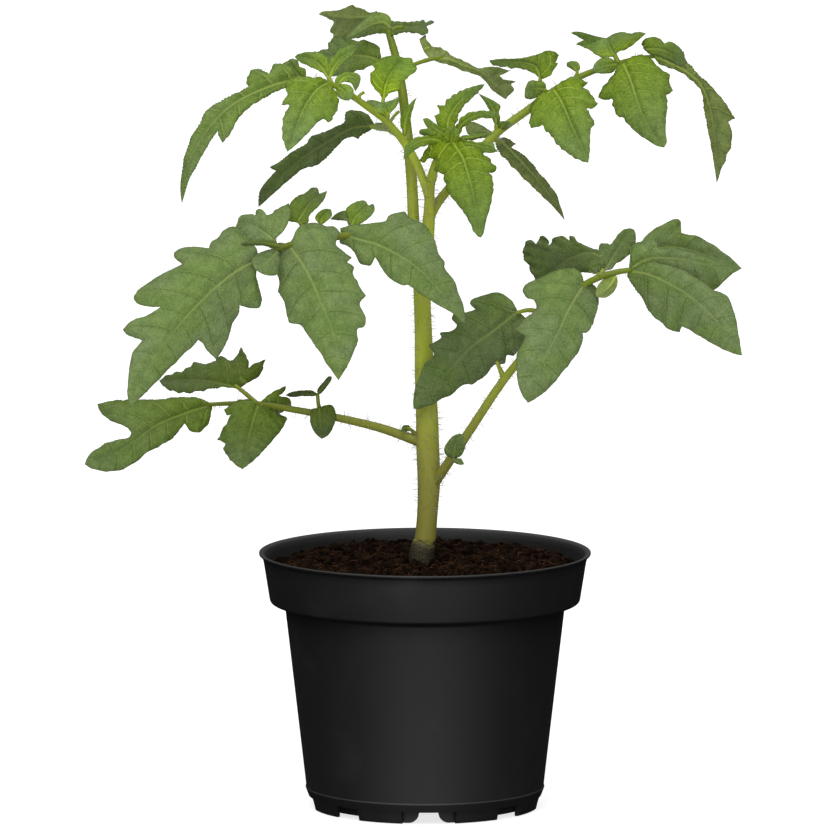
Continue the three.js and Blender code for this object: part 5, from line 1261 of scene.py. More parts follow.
@dataclass(frozen=True)
class StalkSkin:
    """The skin of the stem and the petioles: yellow-green, olive lower, grey-brown at the soil.

    Tops and starts are heights in mm, and a depth says how much of a colour lies on the skin.
    Spans run from where a look starts to where it is full. Those of the wood, the crack above it and
    the earth below it are heights over `wood_top`, or distances from it.
    """

    green: Colour = (0.305, 0.362, 0.024)
    pale: Colour = (0.335, 0.380, 0.055)
    fresh: Colour = (0.160, 0.235, 0.010)
    olive: Colour = (0.185, 0.165, 0.036)
    bark: Colour = (0.030, 0.023, 0.015)
    cork: Colour = (0.095, 0.078, 0.044)
    crack: Colour = (0.020, 0.014, 0.008)
    leaf: Colour = (0.115, 0.165, 0.010)
    gleam: Colour = (0.95, 1.0, 0.55)
    fresh_start: float = 220.0
    fresh_run: float = 40.0
    wood_top: float = 97.0
    olive_top: float = 172.0
    patch_depth: float = 0.38
    fresh_depth: float = 0.75
    olive_depth: float = 0.85
    crack_depth: float = 0.8
    leaf_depth: float = 0.9
    streak_scale: float = 1100.0
    streak_stretch: Triple = (1, 1, 0.06)
    cloud_scale: float = 130.0
    cloud_reach: float = 9.0
    grit_scale: float = 1500.0
    patch_scale: float = 85.0
    patch_stretch: Triple = (1, 1, 0.45)
    streaks: Span = (0.32, 0.68)
    patches: Span = (0.45, 0.66)
    corky: Span = (0.42, 0.70)
    wooden: Span = (1.2, -1.8)
    crack_off: float = 0.3
    cracked: Span = (0.55, 0.15)
    earthy: Span = (-4.5, -8.5)
    bump: float = 0.16

    def material(self) -> bpy.types.Material:
        """Makes the material.

        Returns:
            The material.
        """
        paint = Paint("stalk_skin", 0.42, 0.30)
        paint.give({"Specular Tint": (*self.gleam, 1.0)})
        streak = paint.noise(self.streak_scale, 3.0, self.streak_stretch)
        cloud = paint.math("SUBTRACT", paint.noise(self.cloud_scale, 3.0), 0.5)
        grit = paint.noise(self.grit_scale, 3.0)
        height = paint.height()
        rough_height = paint.line(cloud, self.cloud_reach, height)
        skin = paint.mix(paint.between(streak, *self.streaks), self.green, self.pale)
        patch = paint.between(paint.noise(self.patch_scale, 4.0, self.patch_stretch), *self.patches)
        skin = paint.lay(skin, self.olive, patch, self.patch_depth)
        high = paint.between(height, self.fresh_start, self.fresh_start + self.fresh_run)
        skin = paint.lay(skin, self.fresh, high, self.fresh_depth)
        low = paint.between(rough_height, self.olive_top, self.wood_top + 4)
        skin = paint.lay(skin, self.olive, low, self.olive_depth)
        wood = paint.between(rough_height, *(self.wood_top + step for step in self.wooden))
        bark = paint.mix(paint.between(grit, *self.corky), self.bark, self.cork)
        bark = paint.mix(paint.between(height, self.wood_top, self.wood_top - 4), bark, self.bark)
        skin = paint.mix(wood, skin, bark)
        ring = paint.between(paint.apart(rough_height, self.wood_top - self.crack_off), *self.cracked)
        skin = paint.lay(skin, self.crack, ring, self.crack_depth)
        earth = paint.between(rough_height, *(self.wood_top + step for step in self.earthy))
        skin = paint.lay(skin, self.crack, earth, self.crack_depth)
        skin = paint.lay(skin, self.leaf, paint.mark("leafy"), self.leaf_depth)
        skin = paint.shaded(skin, paint.mark("tone"))
        relief = paint.line(paint.times(grit, wood), 4.0, streak)
        return paint.done(skin, paint.bump(relief, self.bump))


@dataclass(frozen=True)
class HairGlass:
    """The plant's fine grey-green hairs."""

    dull: Colour = (0.24, 0.25, 0.20)
    pale: Colour = (0.36, 0.38, 0.30)

    def material(self) -> bpy.types.Material:
        """Makes the material."""
        paint = Paint("plant_hair", 0.4, 0.4)
        return paint.done(paint.mix(paint.noise(400.0), self.dull, self.pale))


@dataclass(frozen=True)
class MouldedPlastic:
    """The pot's black recycled plastic, satin, with a trace of dust."""

    black: Colour = (0.0019, 0.0020, 0.0021)
    dust: Colour = (0.014, 0.013, 0.012)
    dust_depth: float = 0.30
    roughness: float = 0.60
    dust_scale: float = 45.0
    dusty: Span = (0.58, 0.80)
    grain_scale: float = 2600.0
    grain_bump: float = 0.012
    flow_scale: float = 160.0
    flow_stretch: Triple = (1, 1, 0.12)
    flow_bump: float = 0.02

    def material(self) -> bpy.types.Material:
        """Makes the material.

        Returns:
            The material.
        """
        paint = Paint("moulded_plastic", self.roughness, 0.58)
        cloud = paint.noise(self.dust_scale, 4.0)
        grain = paint.noise(self.grain_scale, 2.0)
        flow = paint.noise(self.flow_scale, 2.0, self.flow_stretch)
        colour = paint.lay(self.black, self.dust, paint.between(cloud, *self.dusty), self.dust_depth)
        rough = paint.line(flow, 0.10, self.roughness - 0.05)
        normal = paint.bump(grain, self.grain_bump)
        return paint.done(colour, paint.bump(flow, self.flow_bump, normal), rough)


@dataclass(frozen=True)
class Peat:
    """Moist dark peat: near black between the crumbs, red-brown on the fibres."""

    dark: Colour = (0.0026, 0.0014, 0.0009)
    brown: Colour = (0.016, 0.0080, 0.0042)
    rust: Colour = (0.066, 0.030, 0.015)
    coarse_scale: float = 260.0
    fine_scale: float = 1700.0
    brownish: Span = (0.35, 0.68)
    rusty: Span = (0.62, 0.74)
    rust_depth: float = 0.5
    bump: float = 0.35

    def material(self, name: str, fibrous: bool) -> bpy.types.Material:
        """Makes the material of the crumbs or of the fibres.

        Args:
            name: The material's name.
            fibrous: Whether it is the fibres'.

        Returns:
            The material.
        """
        paint = Paint(name, 0.9, 0.02)
        coarse = paint.noise(self.coarse_scale)
        fine = paint.noise(self.fine_scale)
        first, second = (self.brown, self.rust) if fibrous else (self.dark, self.brown)
        colour = paint.mix(paint.between(coarse, *self.brownish), first, second)
        colour = paint.lay(colour, self.rust, paint.between(fine, *self.rusty), self.rust_depth)
        return paint.done(colour, paint.bump(fine, self.bump))


@dataclass(frozen=True)
class Finishes:
    """Every material of the plant and its pot."""

    tissue: bpy.types.Material
    stalk: bpy.types.Material
    hair: bpy.types.Material
    plastic: bpy.types.Material
    crumb: bpy.types.Material
    fibre: bpy.types.Material

    @classmethod
    def mixed(cls) -> Finishes:
        """Mixes them all.

        Returns:
            The finishes.
        """
        return cls(
            LeafTissue().material(),
            StalkSkin().material(),
            HairGlass().material(),
            MouldedPlastic().material(),
            Peat().material("peat_crumb", False),
            Peat().material("peat_fibre", True),
        )


# ---- stalks and blades ----------------------------------------------------------------------


@dataclass(frozen=True)
class StalkMaker:
    """Draws round tapering stalks.

    `collar` is how much thicker a stalk is at its base, and `leafy` how leaf-green its end gets.
    """

    sides: int = 12
    spacing: float = 1.4
    collar: float = 0.22
    collar_run: float = 2.5
    leafy: float = 1.0
    long: float = 40.0
    short_leafy: float = 0.4
    first_side: Triple = (0.0, 1.0, 0.3)

    def draw(self, shape: Shape, stations: tuple[Station, ...], finish: int, tone: float) -> None:
        """Adds one stalk to a shape.

        Args:
            shape: The shape that grows.
            stations: Rows of across, up, back and diameter.
            finish: The index of its material.
            tone: How light its skin is, 1 for the main stem's.
        """
        table = np.array(stations, float)
        spot = np.column_stack([Sight.place(table[:, :3]), table[:, 3]])
        route = flowing(spot, self.spacing)
        centre, width = route[:, :3], route[:, 3]
        along = np.gradient(centre, axis=0)
        along /= np.linalg.norm(along, axis=1)[:, None]
        travelled = np.r_[0, np.cumsum(np.linalg.norm(np.diff(centre, axis=0), axis=1))]
        radius = width / 2 * (1 + self.collar * np.exp(-travelled / self.collar_run))
        side = np.array(self.first_side)
        turns = around(self.sides)
        rings = []
        for middle, heading, reach in zip(centre, along, radius):
            side = side - heading * (side @ heading)
            side /= np.linalg.norm(side)
            other = np.cross(heading, side)
            ring = np.cos(turns)[:, None] * side + np.sin(turns)[:, None] * other
            rings.append(middle + ring * reach)
        leafy = np.full(len(rings) * self.sides, self.short_leafy)
        if travelled[-1] > self.long:
            leafy = np.clip(1.7 * np.repeat(travelled / travelled[-1], self.sides) - 0.5, 0, 1)
        faces = rod(len(rings), self.sides)
        shape.add(np.vstack(rings), faces, finish, tone=tone, leafy=leafy * self.leafy)


@dataclass(frozen=True)
class BladeMaker:
    """Draws leaflets as thin quilted blades.

    `fine` and `coarse` are the smallest and the largest triangle, `full_length` the length from
    which relief has its full depth. The vein gaps are shares of a blade's length, the least and the
    most of them are in mm, and small veins cross them at a `cross_gap` of theirs. `fade` says how
    much younger the base of a young blade is than its tip, and `calm` how much flatter the tip is.
    """

    fine: float = 0.42
    coarse: float = 0.66
    across: float = 70.0
    full_length: float = 30.0
    thickness: float = 0.5
    thin_rim: float = 0.45
    rim_run: float = 1.2
    vein_run: float = 0.55
    vein_gap: float = 0.135
    young_gap: float = 0.07
    least_gap: float = 2.2
    most_gap: float = 7.5
    quilt: float = 0.125
    groove: float = 0.30
    groove_run: float = 0.9
    bow: float = 0.035
    ripple: float = 0.8
    cross_gap: float = 0.85
    cross_shift: float = 0.37
    grown_teeth: float = 0.5
    tooth: float = 3.4
    sharp: float = 1.2
    blunt_length: float = 28.0
    fade: float = 1.7
    calm: float = 0.7
    pillow_power: float = 3.5
    cross_depth: float = 0.25
    level: float = 0.65
    wave_start: float = 0.8
    tooth_drift: float = 0.9
    tooth_run: float = 4.3

    def draw(self, shape: Shape, leaflet: Leaflet, finish: int, plan: LeafPlan) -> None:
        """Adds one blade to a shape.

        Args:
            shape: The shape that grows.
            leaflet: The blade's drawing.
            finish: The index of its material.
            plan: The leaf that it belongs to.
        """
        bones = np.array(leaflet.midrib, float).reshape(-1, 3)
        length = np.linalg.norm(np.diff(bones, axis=0), axis=1).sum()
        pitch = float(np.clip(length / self.across, self.fine, self.coarse))
        youth = plan.youth if leaflet.youth is None else leaflet.youth
        tone = plan.tone if leaflet.tone is None else leaflet.tone
        share = self.vein_gap + (self.young_gap - self.vein_gap) * youth
        gap = float(np.clip(length * share, self.least_gap, self.most_gap))
        size = min(1.0, length / self.full_length)
        spine = flowing(bones, pitch)
        sides = [np.array(edge, float).reshape(-1, 2) for edge in (leaflet.one, leaflet.two)]
        ends = spine[:1, :2], spine[-1:, :2]
        sharp = self.sharp + max(0.0, 1 - length / self.blunt_length)
        rows = [margin(np.vstack([ends[0], side, ends[1]]), pitch, sharp) for side in sides]
        edges = [self.toothed(row, spine, plan.teeth * size * (self.grown_teeth + youth)) for row in rows]
        outline = np.vstack([edges[0][:-1], edges[1][:0:-1]])
        x, y = outline.T
        turn = np.sum(x * np.roll(y, -1) - np.roll(x, -1) * y)
        if turn < 0:
            outline = outline[::-1]
        flat, faces = self.fill(outline, spine[:, :2], pitch)

        # Where each point lies: how far from the midrib, along it, and towards the rim.
        away = np.linalg.norm(flat[:, None] - spine[None, :, :2], axis=2)
        near = away.argmin(axis=1)
        rib = away[np.arange(len(flat)), near]
        heading = np.gradient(spine[:, :2], axis=0)[near]
        arm = flat - spine[near, :2]
        left = heading[:, 0] * arm[:, 1] - heading[:, 1] * arm[:, 0] > 0
        first = left if turn < 0 else ~left
        rim_gap = np.linalg.norm(flat[:, None] - outline[None, ::2], axis=2).min(axis=1)
        rim = rib / (rib + rim_gap + 1e-6)
        along = near / (len(spine) - 1)
        back = spine[near, 2] + np.where(first, *leaflet.lean) * rib
        drawn = Sight.place(np.column_stack([flat, back]))

        # Relief: pillows between the veins, a groove at the midrib, bowed halves and a wavy rim.
        vein = np.where(first, *(self.veins(edge, spine, along, rib, length, gap) for edge in edges))
        cross = rib / (gap * self.cross_gap) + self.cross_shift * np.floor(vein)
        grown = np.clip((rib - 0.3) / (gap * 0.45), 0, 1)
        pillow = 1 - np.abs(vein % 1.0 * 2 - 1) ** self.pillow_power
        pillow *= 1 - self.cross_depth * np.abs(cross % 1.0 * 2 - 1) ** 3
        strength = plan.pucker * (1 - self.calm * along)
        quilt = pillow * grown * np.clip((1.02 - rim) * 4, 0, 1)
        relief = self.quilt * gap * strength * quilt
        relief -= self.groove * size * np.exp(-((rib / self.groove_run) ** 2))
        relief += self.bow * size * (rib + rim_gap) * np.sin(np.pi * rim)
        wave = rim**2 * grown * np.sin(2 * np.pi * vein + self.wave_start)
        relief += leaflet.wave * size**2 * self.ripple * wave
        normal = self.normals(drawn, faces)
        drawn = drawn + normal * (relief * leaflet.shows.value)[:, None]

        # Both skins, joined along the rim, where the blade is thinner.
        full = np.clip(rim_gap / self.rim_run, 0, 1)
        half = self.thickness / 2 * (self.thin_rim + (1 - self.thin_rim) * full)
        skin = np.vstack([drawn + normal * half[:, None], drawn - normal * half[:, None]])
        count = len(flat)
        closed = [*faces, *((c + count, b + count, a + count) for a, b, c in faces)]
        closed += [(b, a, a + count, b + count) for a, b in self.rim_edges(faces)]
        marks = {
            "youth": np.clip(youth * (1 + self.fade * (0.25 - along)), 0, 1),
            "frost": np.clip(1 - 1.5 * youth + 0.5 * along, 0, 1),
            "quilt": (quilt - self.level) * strength,
            "along": along,
            "vein": vein,
            "cross": cross,
            "rib": rib,
            "rim": rim,
        }
        both = {name: np.tile(values, 2) for name, values in marks.items()}
        front = 0.0 if leaflet.shows is Face.UPPER else 1.0
        under = np.repeat([front, 1.0 - front], count)
        shape.add(skin, closed, finish, tone=tone, under=under, **both)

    def toothed(self, edge: np.ndarray, spine: np.ndarray, depth: float) -> np.ndarray:
        """Gives a margin its fine blunt teeth.

        Args:
            edge: The margin from base to tip.
            spine: The midrib.
            depth: How far the teeth stand out, in mm.

        Returns:
            The toothed margin, with the same ends.
        """
        travelled = np.r_[0, np.cumsum(np.linalg.norm(np.diff(edge, axis=0), axis=1))]
        left = (travelled[-1] - travelled) / travelled[-1]
        ends = np.clip(travelled / 3, 0, 1) * np.clip(left * 1.6, 0, 1)
        heading = np.gradient(edge, axis=0)
        out = np.column_stack([-heading[:, 1], heading[:, 0]])
        out /= np.maximum(np.linalg.norm(out, axis=1), TINY)[:, None]
        middle = len(edge) // 2
        to_spine = spine[:, :2][np.linalg.norm(spine[:, :2] - edge[middle], axis=1).argmin()] - edge[middle]
        if out[middle] @ to_spine > 0:
            out = -out
        drift = self.tooth_drift * np.sin(travelled / self.tooth_run)
        wave = np.abs(np.sin(np.pi * travelled / self.tooth + drift))
        return edge + out * ((wave - 0.5) * depth * ends)[:, None]

    @staticmethod
    def fill(
        outline: np.ndarray, spine: np.ndarray, pitch: float
    ) -> tuple[np.ndarray, list[tuple[int, int, int]]]:
        """Fills an outline with even triangles that keep to the midrib.

        Args:
            outline: The closed outline, anticlockwise, base included.
            spine: The midrib's points from base to tip.
            pitch: The size of the triangles.

        Returns:
            The points and the triangles, anticlockwise.
        """
        low, high = outline.min(axis=0), outline.max(axis=0)
        rows = np.arange(low[1], high[1], pitch * 0.866)
        columns = np.arange(low[0], high[0], pitch)
        across, up = np.meshgrid(columns, rows)
        across = across + (np.arange(len(rows)) % 2)[:, None] * pitch / 2
        grid = np.column_stack([across.ravel(), up.ravel()])
        grid = grid[inside(grid, outline)]
        fence = np.vstack([outline, spine])
        clear = np.linalg.norm(grid[:, None] - fence[None], axis=2).min(axis=1) > pitch * 0.5
        points = np.vstack([outline, spine[1:-1], grid[clear]])
        ribs = range(len(outline), len(outline) + len(spine) - 2)
        base = int(np.linalg.norm(outline - spine[0], axis=1).argmin())
        tip = int(np.linalg.norm(outline - spine[-1], axis=1).argmin())
        chain = [base, *ribs, tip]
        vectors = [Vector(point) for point in points.tolist()]
        result = delaunay_2d_cdt(vectors, list(zip(chain, chain[1:])), [range(len(outline))], 1, 1e-5)
        return np.array([tuple(v) for v in result[0]]), [tuple(face) for face in result[2]]

    def veins(
        self,
        edge: np.ndarray,
        spine: np.ndarray,
        along: np.ndarray,
        rib: np.ndarray,
        length: float,
        gap: float,
    ) -> np.ndarray:
        """Numbers the side veins of one half, so that they end in its lobes.

        Args:
            edge: The half's margin from base to tip.
            spine: The midrib.
            along: How far along the midrib each point of the blade lies, from 0 to 1.
            rib: Each point's distance from the midrib.
            length: The midrib's length.
            gap: How far apart the veins stand.

        Returns:
            A number for each point of the blade, whole on a vein.
        """
        away = np.linalg.norm(edge[:, None] - spine[None, :, :2], axis=2)
        reach = away.min(axis=1)
        wide = reach.max()
        start = away.argmin(axis=1) / (len(spine) - 1) - self.sweep(reach, wide, length)
        window = max(3, round(gap / 2 / self.coarse))
        roots = [
            start[i]
            for i in range(2, len(edge) - 2)
            if reach[i] > gap * 0.4 and reach[i] >= reach[max(0, i - window) : i + window + 1].max() - 1e-6
        ]
        steps = [-0.35]
        for root in [*sorted(roots), 1.0]:
            room = (root - steps[-1]) * length
            if room < gap * 0.5:
                continue
            parts = max(1, round(room / gap / 1.2))
            steps += [steps[-1] + (root - steps[-1]) * k / parts for k in range(1, parts)] + [root]
        return np.interp(along - self.sweep(rib, wide, length), steps, np.arange(len(steps)))

    def sweep(self, rib: np.ndarray, wide: float, length: float) -> np.ndarray:
        """Tells how far towards the tip a side vein has bent at a distance from the midrib."""
        return self.vein_run * rib / length * (0.55 + 0.7 * rib / wide)

    @staticmethod
    def normals(points: np.ndarray, faces: list[tuple[int, int, int]]) -> np.ndarray:
        """Works out each point's normal, weighted by area.

        Args:
            points: The points, one row each.
            faces: The triangles.

        Returns:
            A unit normal for each point.
        """
        corners = np.array(faces)
        a, b, c = (points[corners[:, i]] for i in range(3))
        flat = np.cross(b - a, c - a)
        total = np.zeros_like(points)
        for i in range(3):
            np.add.at(total, corners[:, i], flat)
        return total / np.maximum(np.linalg.norm(total, axis=1), TINY)[:, None]

    @staticmethod
    def rim_edges(faces: list[tuple[int, int, int]]) -> list[tuple[int, int]]:
        """Finds the directed edges that only one triangle has."""
        sides = {(face[i], face[(i + 1) % 3]) for face in faces for i in range(3)}
        return sorted(side for side in sides if side[::-1] not in sides)


@dataclass(frozen=True)
class Leaf:
    """One compound leaf: stalks and blades in one piece."""

    plan: LeafPlan
    stalks: StalkMaker = StalkMaker()
    blades: BladeMaker = BladeMaker()

    def build(self, finishes: Finishes) -> None:
        """Builds the leaf and lets it stand for its node.

        Args:
            finishes: The plant's materials.
        """
        shape = Shape()
        for stations in self.plan.stalks:
            self.stalks.draw(shape, stations, 0, self.plan.stalk_tone)
        for leaflet in self.plan.leaflets:
            self.blades.draw(shape, leaflet, 1, self.plan)
        piece = shape.object(self.plan.name + "_dressed", [finishes.stalk, finishes.tissue])
        fit(piece, self.plan.slot, self.plan.name)


@dataclass(frozen=True)
class Stem:
    """The main stem, ringed where it meets the soil."""

    stalks: StalkMaker = StalkMaker(sides=28, spacing=0.8, collar=0.0, leafy=0.0)

    def build(self, finishes: Finishes) -> None:
        """Builds the stem and lets it stand for its node.

        Args:
            finishes: The plant's materials.
        """
        shape = Shape()
        self.stalks.draw(shape, MAIN_STEM, 0, 1.0)
        piece = shape.object("stem_dressed", [finishes.stalk])
        fit(piece, Slot.STEM, "stem")


# ---- what is scattered ----------------------------------------------------------------------


class Scatter(Graph):
    """A Geometry Nodes tree that strews something over a surface, with named inputs."""

    def __init__(self, name: str, numbers: dict[str, float]) -> None:
        """Starts the tree.

        Args:
            name: The tree's name.
            numbers: The values of its named inputs.
        """
        super().__init__(bpy.data.node_groups.new(name, "GeometryNodeTree"))
        sockets = self.tree.interface
        sockets.new_socket("Surface", in_out="INPUT", socket_type="NodeSocketGeometry")
        sockets.new_socket("Result", in_out="OUTPUT", socket_type="NodeSocketGeometry")
        self.entry = self.tree.nodes.new("NodeGroupInput")
        self.values: dict[str, float] = {}
        for title, number in numbers.items():
            made = sockets.new_socket(title, in_out="INPUT", socket_type="NodeSocketFloat")
            self.values[made.identifier] = number

    def join(self, end: Socket, value: object) -> None:
        """Links a socket or the named input to an input, or gives it a plain value."""
        super().join(end, self.entry.outputs[value] if isinstance(value, str) else value)

    def chance(self, kind: str, low: object, high: object, seed: int) -> Socket:
        """Draws a random value for each item.

        Args:
            kind: "FLOAT" for a number or "FLOAT_VECTOR" for a vector.
            low: The smallest value.
            high: The largest value.
            seed: The seed of the draw.

        Returns:
            The value.
        """
        made = self.node("FunctionNodeRandomValue", {}, data_type=kind)
        pair = [end for end in made.inputs if end.name in ("Min", "Max") and end.enabled]
        for end, value in zip(pair, (low, high)):
            self.join(end, value)
        self.join(made.inputs["Seed"], seed)
        return next(out for out in made.outputs if out.enabled)

    def strew(
        self, item: Socket, density: str, tilt: float, sizes: tuple[object, object], seed: int
    ) -> Socket:
        """Puts an item at random points of the surface.

        Args:
            item: The item's geometry.
            density: The name of the input that says how many stand on a square metre.
            tilt: How far, in radians, an item may lean from the surface's normal.
            sizes: The smallest and the largest scale.
            seed: The seed of every random draw.

        Returns:
            The items as real geometry.
        """
        spread = {"Mesh": "Surface", "Density": density, "Seed": seed}
        points = self.node("GeometryNodeDistributePointsOnFaces", spread)
        lean = self.chance("FLOAT_VECTOR", (-tilt, -tilt, -math.pi), (tilt, tilt, math.pi), seed + 1)
        turned = self.node("FunctionNodeEulerToRotation", {0: lean}).outputs[0]
        turns = {0: points.outputs["Rotation"], 1: turned}
        rotation = self.node("FunctionNodeRotateRotation", turns, rotation_space="LOCAL")
        kind = "FLOAT_VECTOR" if isinstance(sizes[0], tuple) else "FLOAT"
        placing = {
            "Points": points.outputs["Points"],
            "Instance": item,
            "Rotation": rotation.outputs[0],
            "Scale": self.chance(kind, *sizes, seed + 2),
        }
        placed = self.node("GeometryNodeInstanceOnPoints", placing)
        return self.node("GeometryNodeRealizeInstances", {0: placed.outputs[0]}).outputs[0]

    def coat(self, geometry: Socket, material: bpy.types.Material) -> Socket:
        """Gives geometry a material and smooth shading."""
        smooth = self.node("GeometryNodeSetShadeSmooth", {0: geometry})
        return self.node("GeometryNodeSetMaterial", {0: smooth.outputs[0], "Material": material}).outputs[0]

    def finish(self, *parts: Socket) -> None:
        """Joins the parts to the tree's output.

        Args:
            parts: The geometries, in the order that they have in the mesh.
        """
        joined = self.tree.nodes.new("GeometryNodeJoinGeometry")
        for part in reversed(parts):
            self.join(joined.inputs[0], part)
        self.node("NodeGroupOutput", {0: joined.outputs[0]})

    def apply(self, surface: bpy.types.Object, name: str) -> bpy.types.Object:
        """Runs the tree and keeps the result as a plain mesh.

        Args:
            surface: The surface object, which is removed.
            name: The new object's name.

        Returns:
            The plain object.
        """
        modifier = surface.modifiers.new(name, "NODES")
        modifier.node_group = self.tree
        for identifier, value in self.values.items():
            modifier[identifier] = value
        return baked(surface, name)


@dataclass(frozen=True)
class HairCoat:
    """The short pale hairs on the stem and the petioles."""

    per_square_metre: float = 340_000.0
    length: float = 2.8
    width: float = 0.21
    lean: float = 0.45
    sizes: Span = (0.35, 1.15)
    lowest: float = 108.0
    seed: int = 7

    def build(self, finishes: Finishes) -> None:
        """Grows the hairs on a copy of every stalk.

        Args:
            finishes: The plant's materials.
        """
        shape = Shape()
        petioles = StalkMaker(sides=10, spacing=2.0)
        for plan in LEAF_PLANS:
            for stations in plan.stalks:
                petioles.draw(shape, stations, 0, 0.0)
        above_soil = tuple(station for station in MAIN_STEM if station[1] > self.lowest)
        StalkMaker(sides=10, spacing=2.0, collar=0.0).draw(shape, above_soil, 0, 0.0)
        surface = shape.object("hair_bed", [])
        numbers = {
            "Hairs per square metre": self.per_square_metre,
            "Length": self.length * MM,
            "Radius": self.width / 2 * MM,
            "Tip radius": self.width / 5 * MM,
        }
        coat = Scatter("hair_coat", numbers)
        cone = {"Vertices": 3, "Depth": "Length", "Radius Bottom": "Radius", "Radius Top": "Tip radius"}
        hair = coat.node("GeometryNodeMeshCone", cone, fill_type="NONE").outputs["Mesh"]
        strewn = coat.strew(hair, "Hairs per square metre", self.lean, self.sizes, self.seed)
        coat.finish(coat.coat(strewn, finishes.hair))
        fit(coat.apply(surface, "plant_hairs"), Slot.STEM)


# ---- pot and soil ---------------------------------------------------------------------------


@dataclass(frozen=True)
class Soil:
    """The peat: a heaped surface with crumbs, lumps and fibres strewn on it.

    Crumbs, lumps and fibres are counted to the square metre, `leans` says how far each of them may
    lean, in radians, and `fibre` holds the three points that a fibre's bow is drawn with.
    """

    level: float = 87.6
    core: float = 0.4
    edge: float = 55.2
    rings: int = 46
    sectors: int = 120
    skirt: float = 6.0
    skirt_share: float = 0.93
    crumbs: float = 290_000.0
    lumps: float = 60_000.0
    fibres: float = 120_000.0
    crumb_radius: float = 0.6
    lump_radius: float = 1.7
    lump_dents: float = 3.4
    dent_scale: float = 900.0
    fibre_radius: float = 0.16
    fibre: tuple[Triple, Triple, Triple] = ((-2.2, 0, 0), (0, 1.1, 1.2), (2.2, 0.2, 0.2))
    fibre_sizes: Span = (0.35, 1.3)
    crumb_sizes: tuple[Triple, Triple] = ((0.5, 0.5, 0.4), (1.5, 1.3, 1.0))
    leans: Triple = (0.9, 0.6, 0.35)
    seed: int = 21

    def rise(self, x: np.ndarray, y: np.ndarray) -> np.ndarray:
        """Says how far the surface lies above its level.

        Args:
            x: Distance to the right, in mm.
            y: Distance to the back, in mm.

        Returns:
            The rise in mm, as the solid has it.
        """
        heap = 2.6 * np.exp(-((x - 6) ** 2 + (y - 14) ** 2) / 420)
        slope = np.where(y > 0, 0.022 * y, 0.006 * y)
        wall = -1.6 * (np.hypot(x, y) / 60) ** 6 * (np.abs(x) / 60 + 0.3)
        swell = 0.5 * np.sin(0.31 * x + 0.9) * np.sin(0.27 * y - 0.4) + 0.3 * np.sin(0.6 * x - 0.5 * y)
        return heap + slope + wall + swell

    def bed(self) -> Shape:
        """Draws the surface, with a skirt down the wall, as concentric rings.

        Returns:
            The surface.
        """
        shape = Shape()
        radius = np.repeat(np.linspace(self.core, self.edge, self.rings), self.sectors)
        angle = np.tile(around(self.sectors), self.rings)
        x, y = radius * np.cos(angle), radius * np.sin(angle)
        z = self.level + self.rise(x, y)
        z += 0.7 * np.sin(1.3 * x + 0.5 * y) * np.sin(0.9 * y - 0.6 * x)
        points = np.column_stack([x, y, z])
        skirt = points[-self.sectors :] * (self.skirt_share, self.skirt_share, 1) - (0, 0, self.skirt)
        middle = self.level + self.rise(np.zeros(1), np.zeros(1))[0]
        points = np.vstack([points, skirt, [[0, 0, middle]]])
        faces = turned_over(tube(self.rings + 1, self.sectors))
        centre = len(points) - 1
        faces += [(centre, k, (k + 1) % self.sectors) for k in range(self.sectors)]
        shape.add(points, faces)
        return shape

    def build(self, finishes: Finishes) -> None:
        """Builds the soil and lets it stand for its node.

        Args:
            finishes: The plant's materials.
        """
        surface = self.bed().object("soil_bed", [finishes.crumb])
        numbers = {
            "Crumbs per square metre": self.crumbs,
            "Lumps per square metre": self.lumps,
            "Fibres per square metre": self.fibres,
            "Crumb radius": self.crumb_radius * MM,
            "Lump radius": self.lump_radius * MM,
            "Fibre radius": self.fibre_radius * MM,
        }
        peat = Scatter("peat_strewing", numbers)
        crumb = peat.node("GeometryNodeMeshIcoSphere", {"Radius": "Crumb radius", "Subdivisions": 1})
        ball = peat.node("GeometryNodeMeshIcoSphere", {"Radius": "Lump radius", "Subdivisions": 2})
        cloud = peat.node("ShaderNodeTexNoise", {"Scale": self.dent_scale, "Detail": 2.0}).outputs["Color"]
        dent = peat.node("ShaderNodeVectorMath", {0: cloud, 1: (0.5, 0.5, 0.5)}, operation="SUBTRACT")
        push = {0: dent.outputs[0], "Scale": self.lump_dents * MM}
        offset = peat.node("ShaderNodeVectorMath", push, operation="SCALE").outputs[0]
        lump = peat.node("GeometryNodeSetPosition", {0: ball.outputs["Mesh"], "Offset": offset})
        start, middle, end = (tuple(value * MM for value in spot) for spot in self.fibre)
        bow = {"Resolution": 3, "Start": start, "Middle": middle, "End": end}
        bend = peat.node("GeometryNodeCurveQuadraticBezier", bow).outputs[0]
        wire = {"Resolution": 4, "Radius": "Fibre radius"}
        profile = peat.node("GeometryNodeCurvePrimitiveCircle", wire).outputs[0]
        fibre = peat.node("GeometryNodeCurveToMesh", {0: bend, 1: profile})
        items = (
            (crumb.outputs["Mesh"], "Crumbs per square metre", self.leans[0], self.crumb_sizes, self.seed),
            (lump.outputs[0], "Lumps per square metre", self.leans[1], self.crumb_sizes, self.seed + 10),
            (fibre.outputs[0], "Fibres per square metre", self.leans[2], self.fibre_sizes, self.seed + 20),
        )
        crumbs, lumps, fibres = (peat.strew(*item) for item in items)
        parts = [peat.coat(part, finishes.crumb) for part in (peat.entry.outputs["Surface"], crumbs, lumps)]
        peat.finish(*parts, peat.coat(fibres, finishes.fibre))
        fit(peat.apply(surface, "soil_dressed"), Slot.PEAT, "soil")


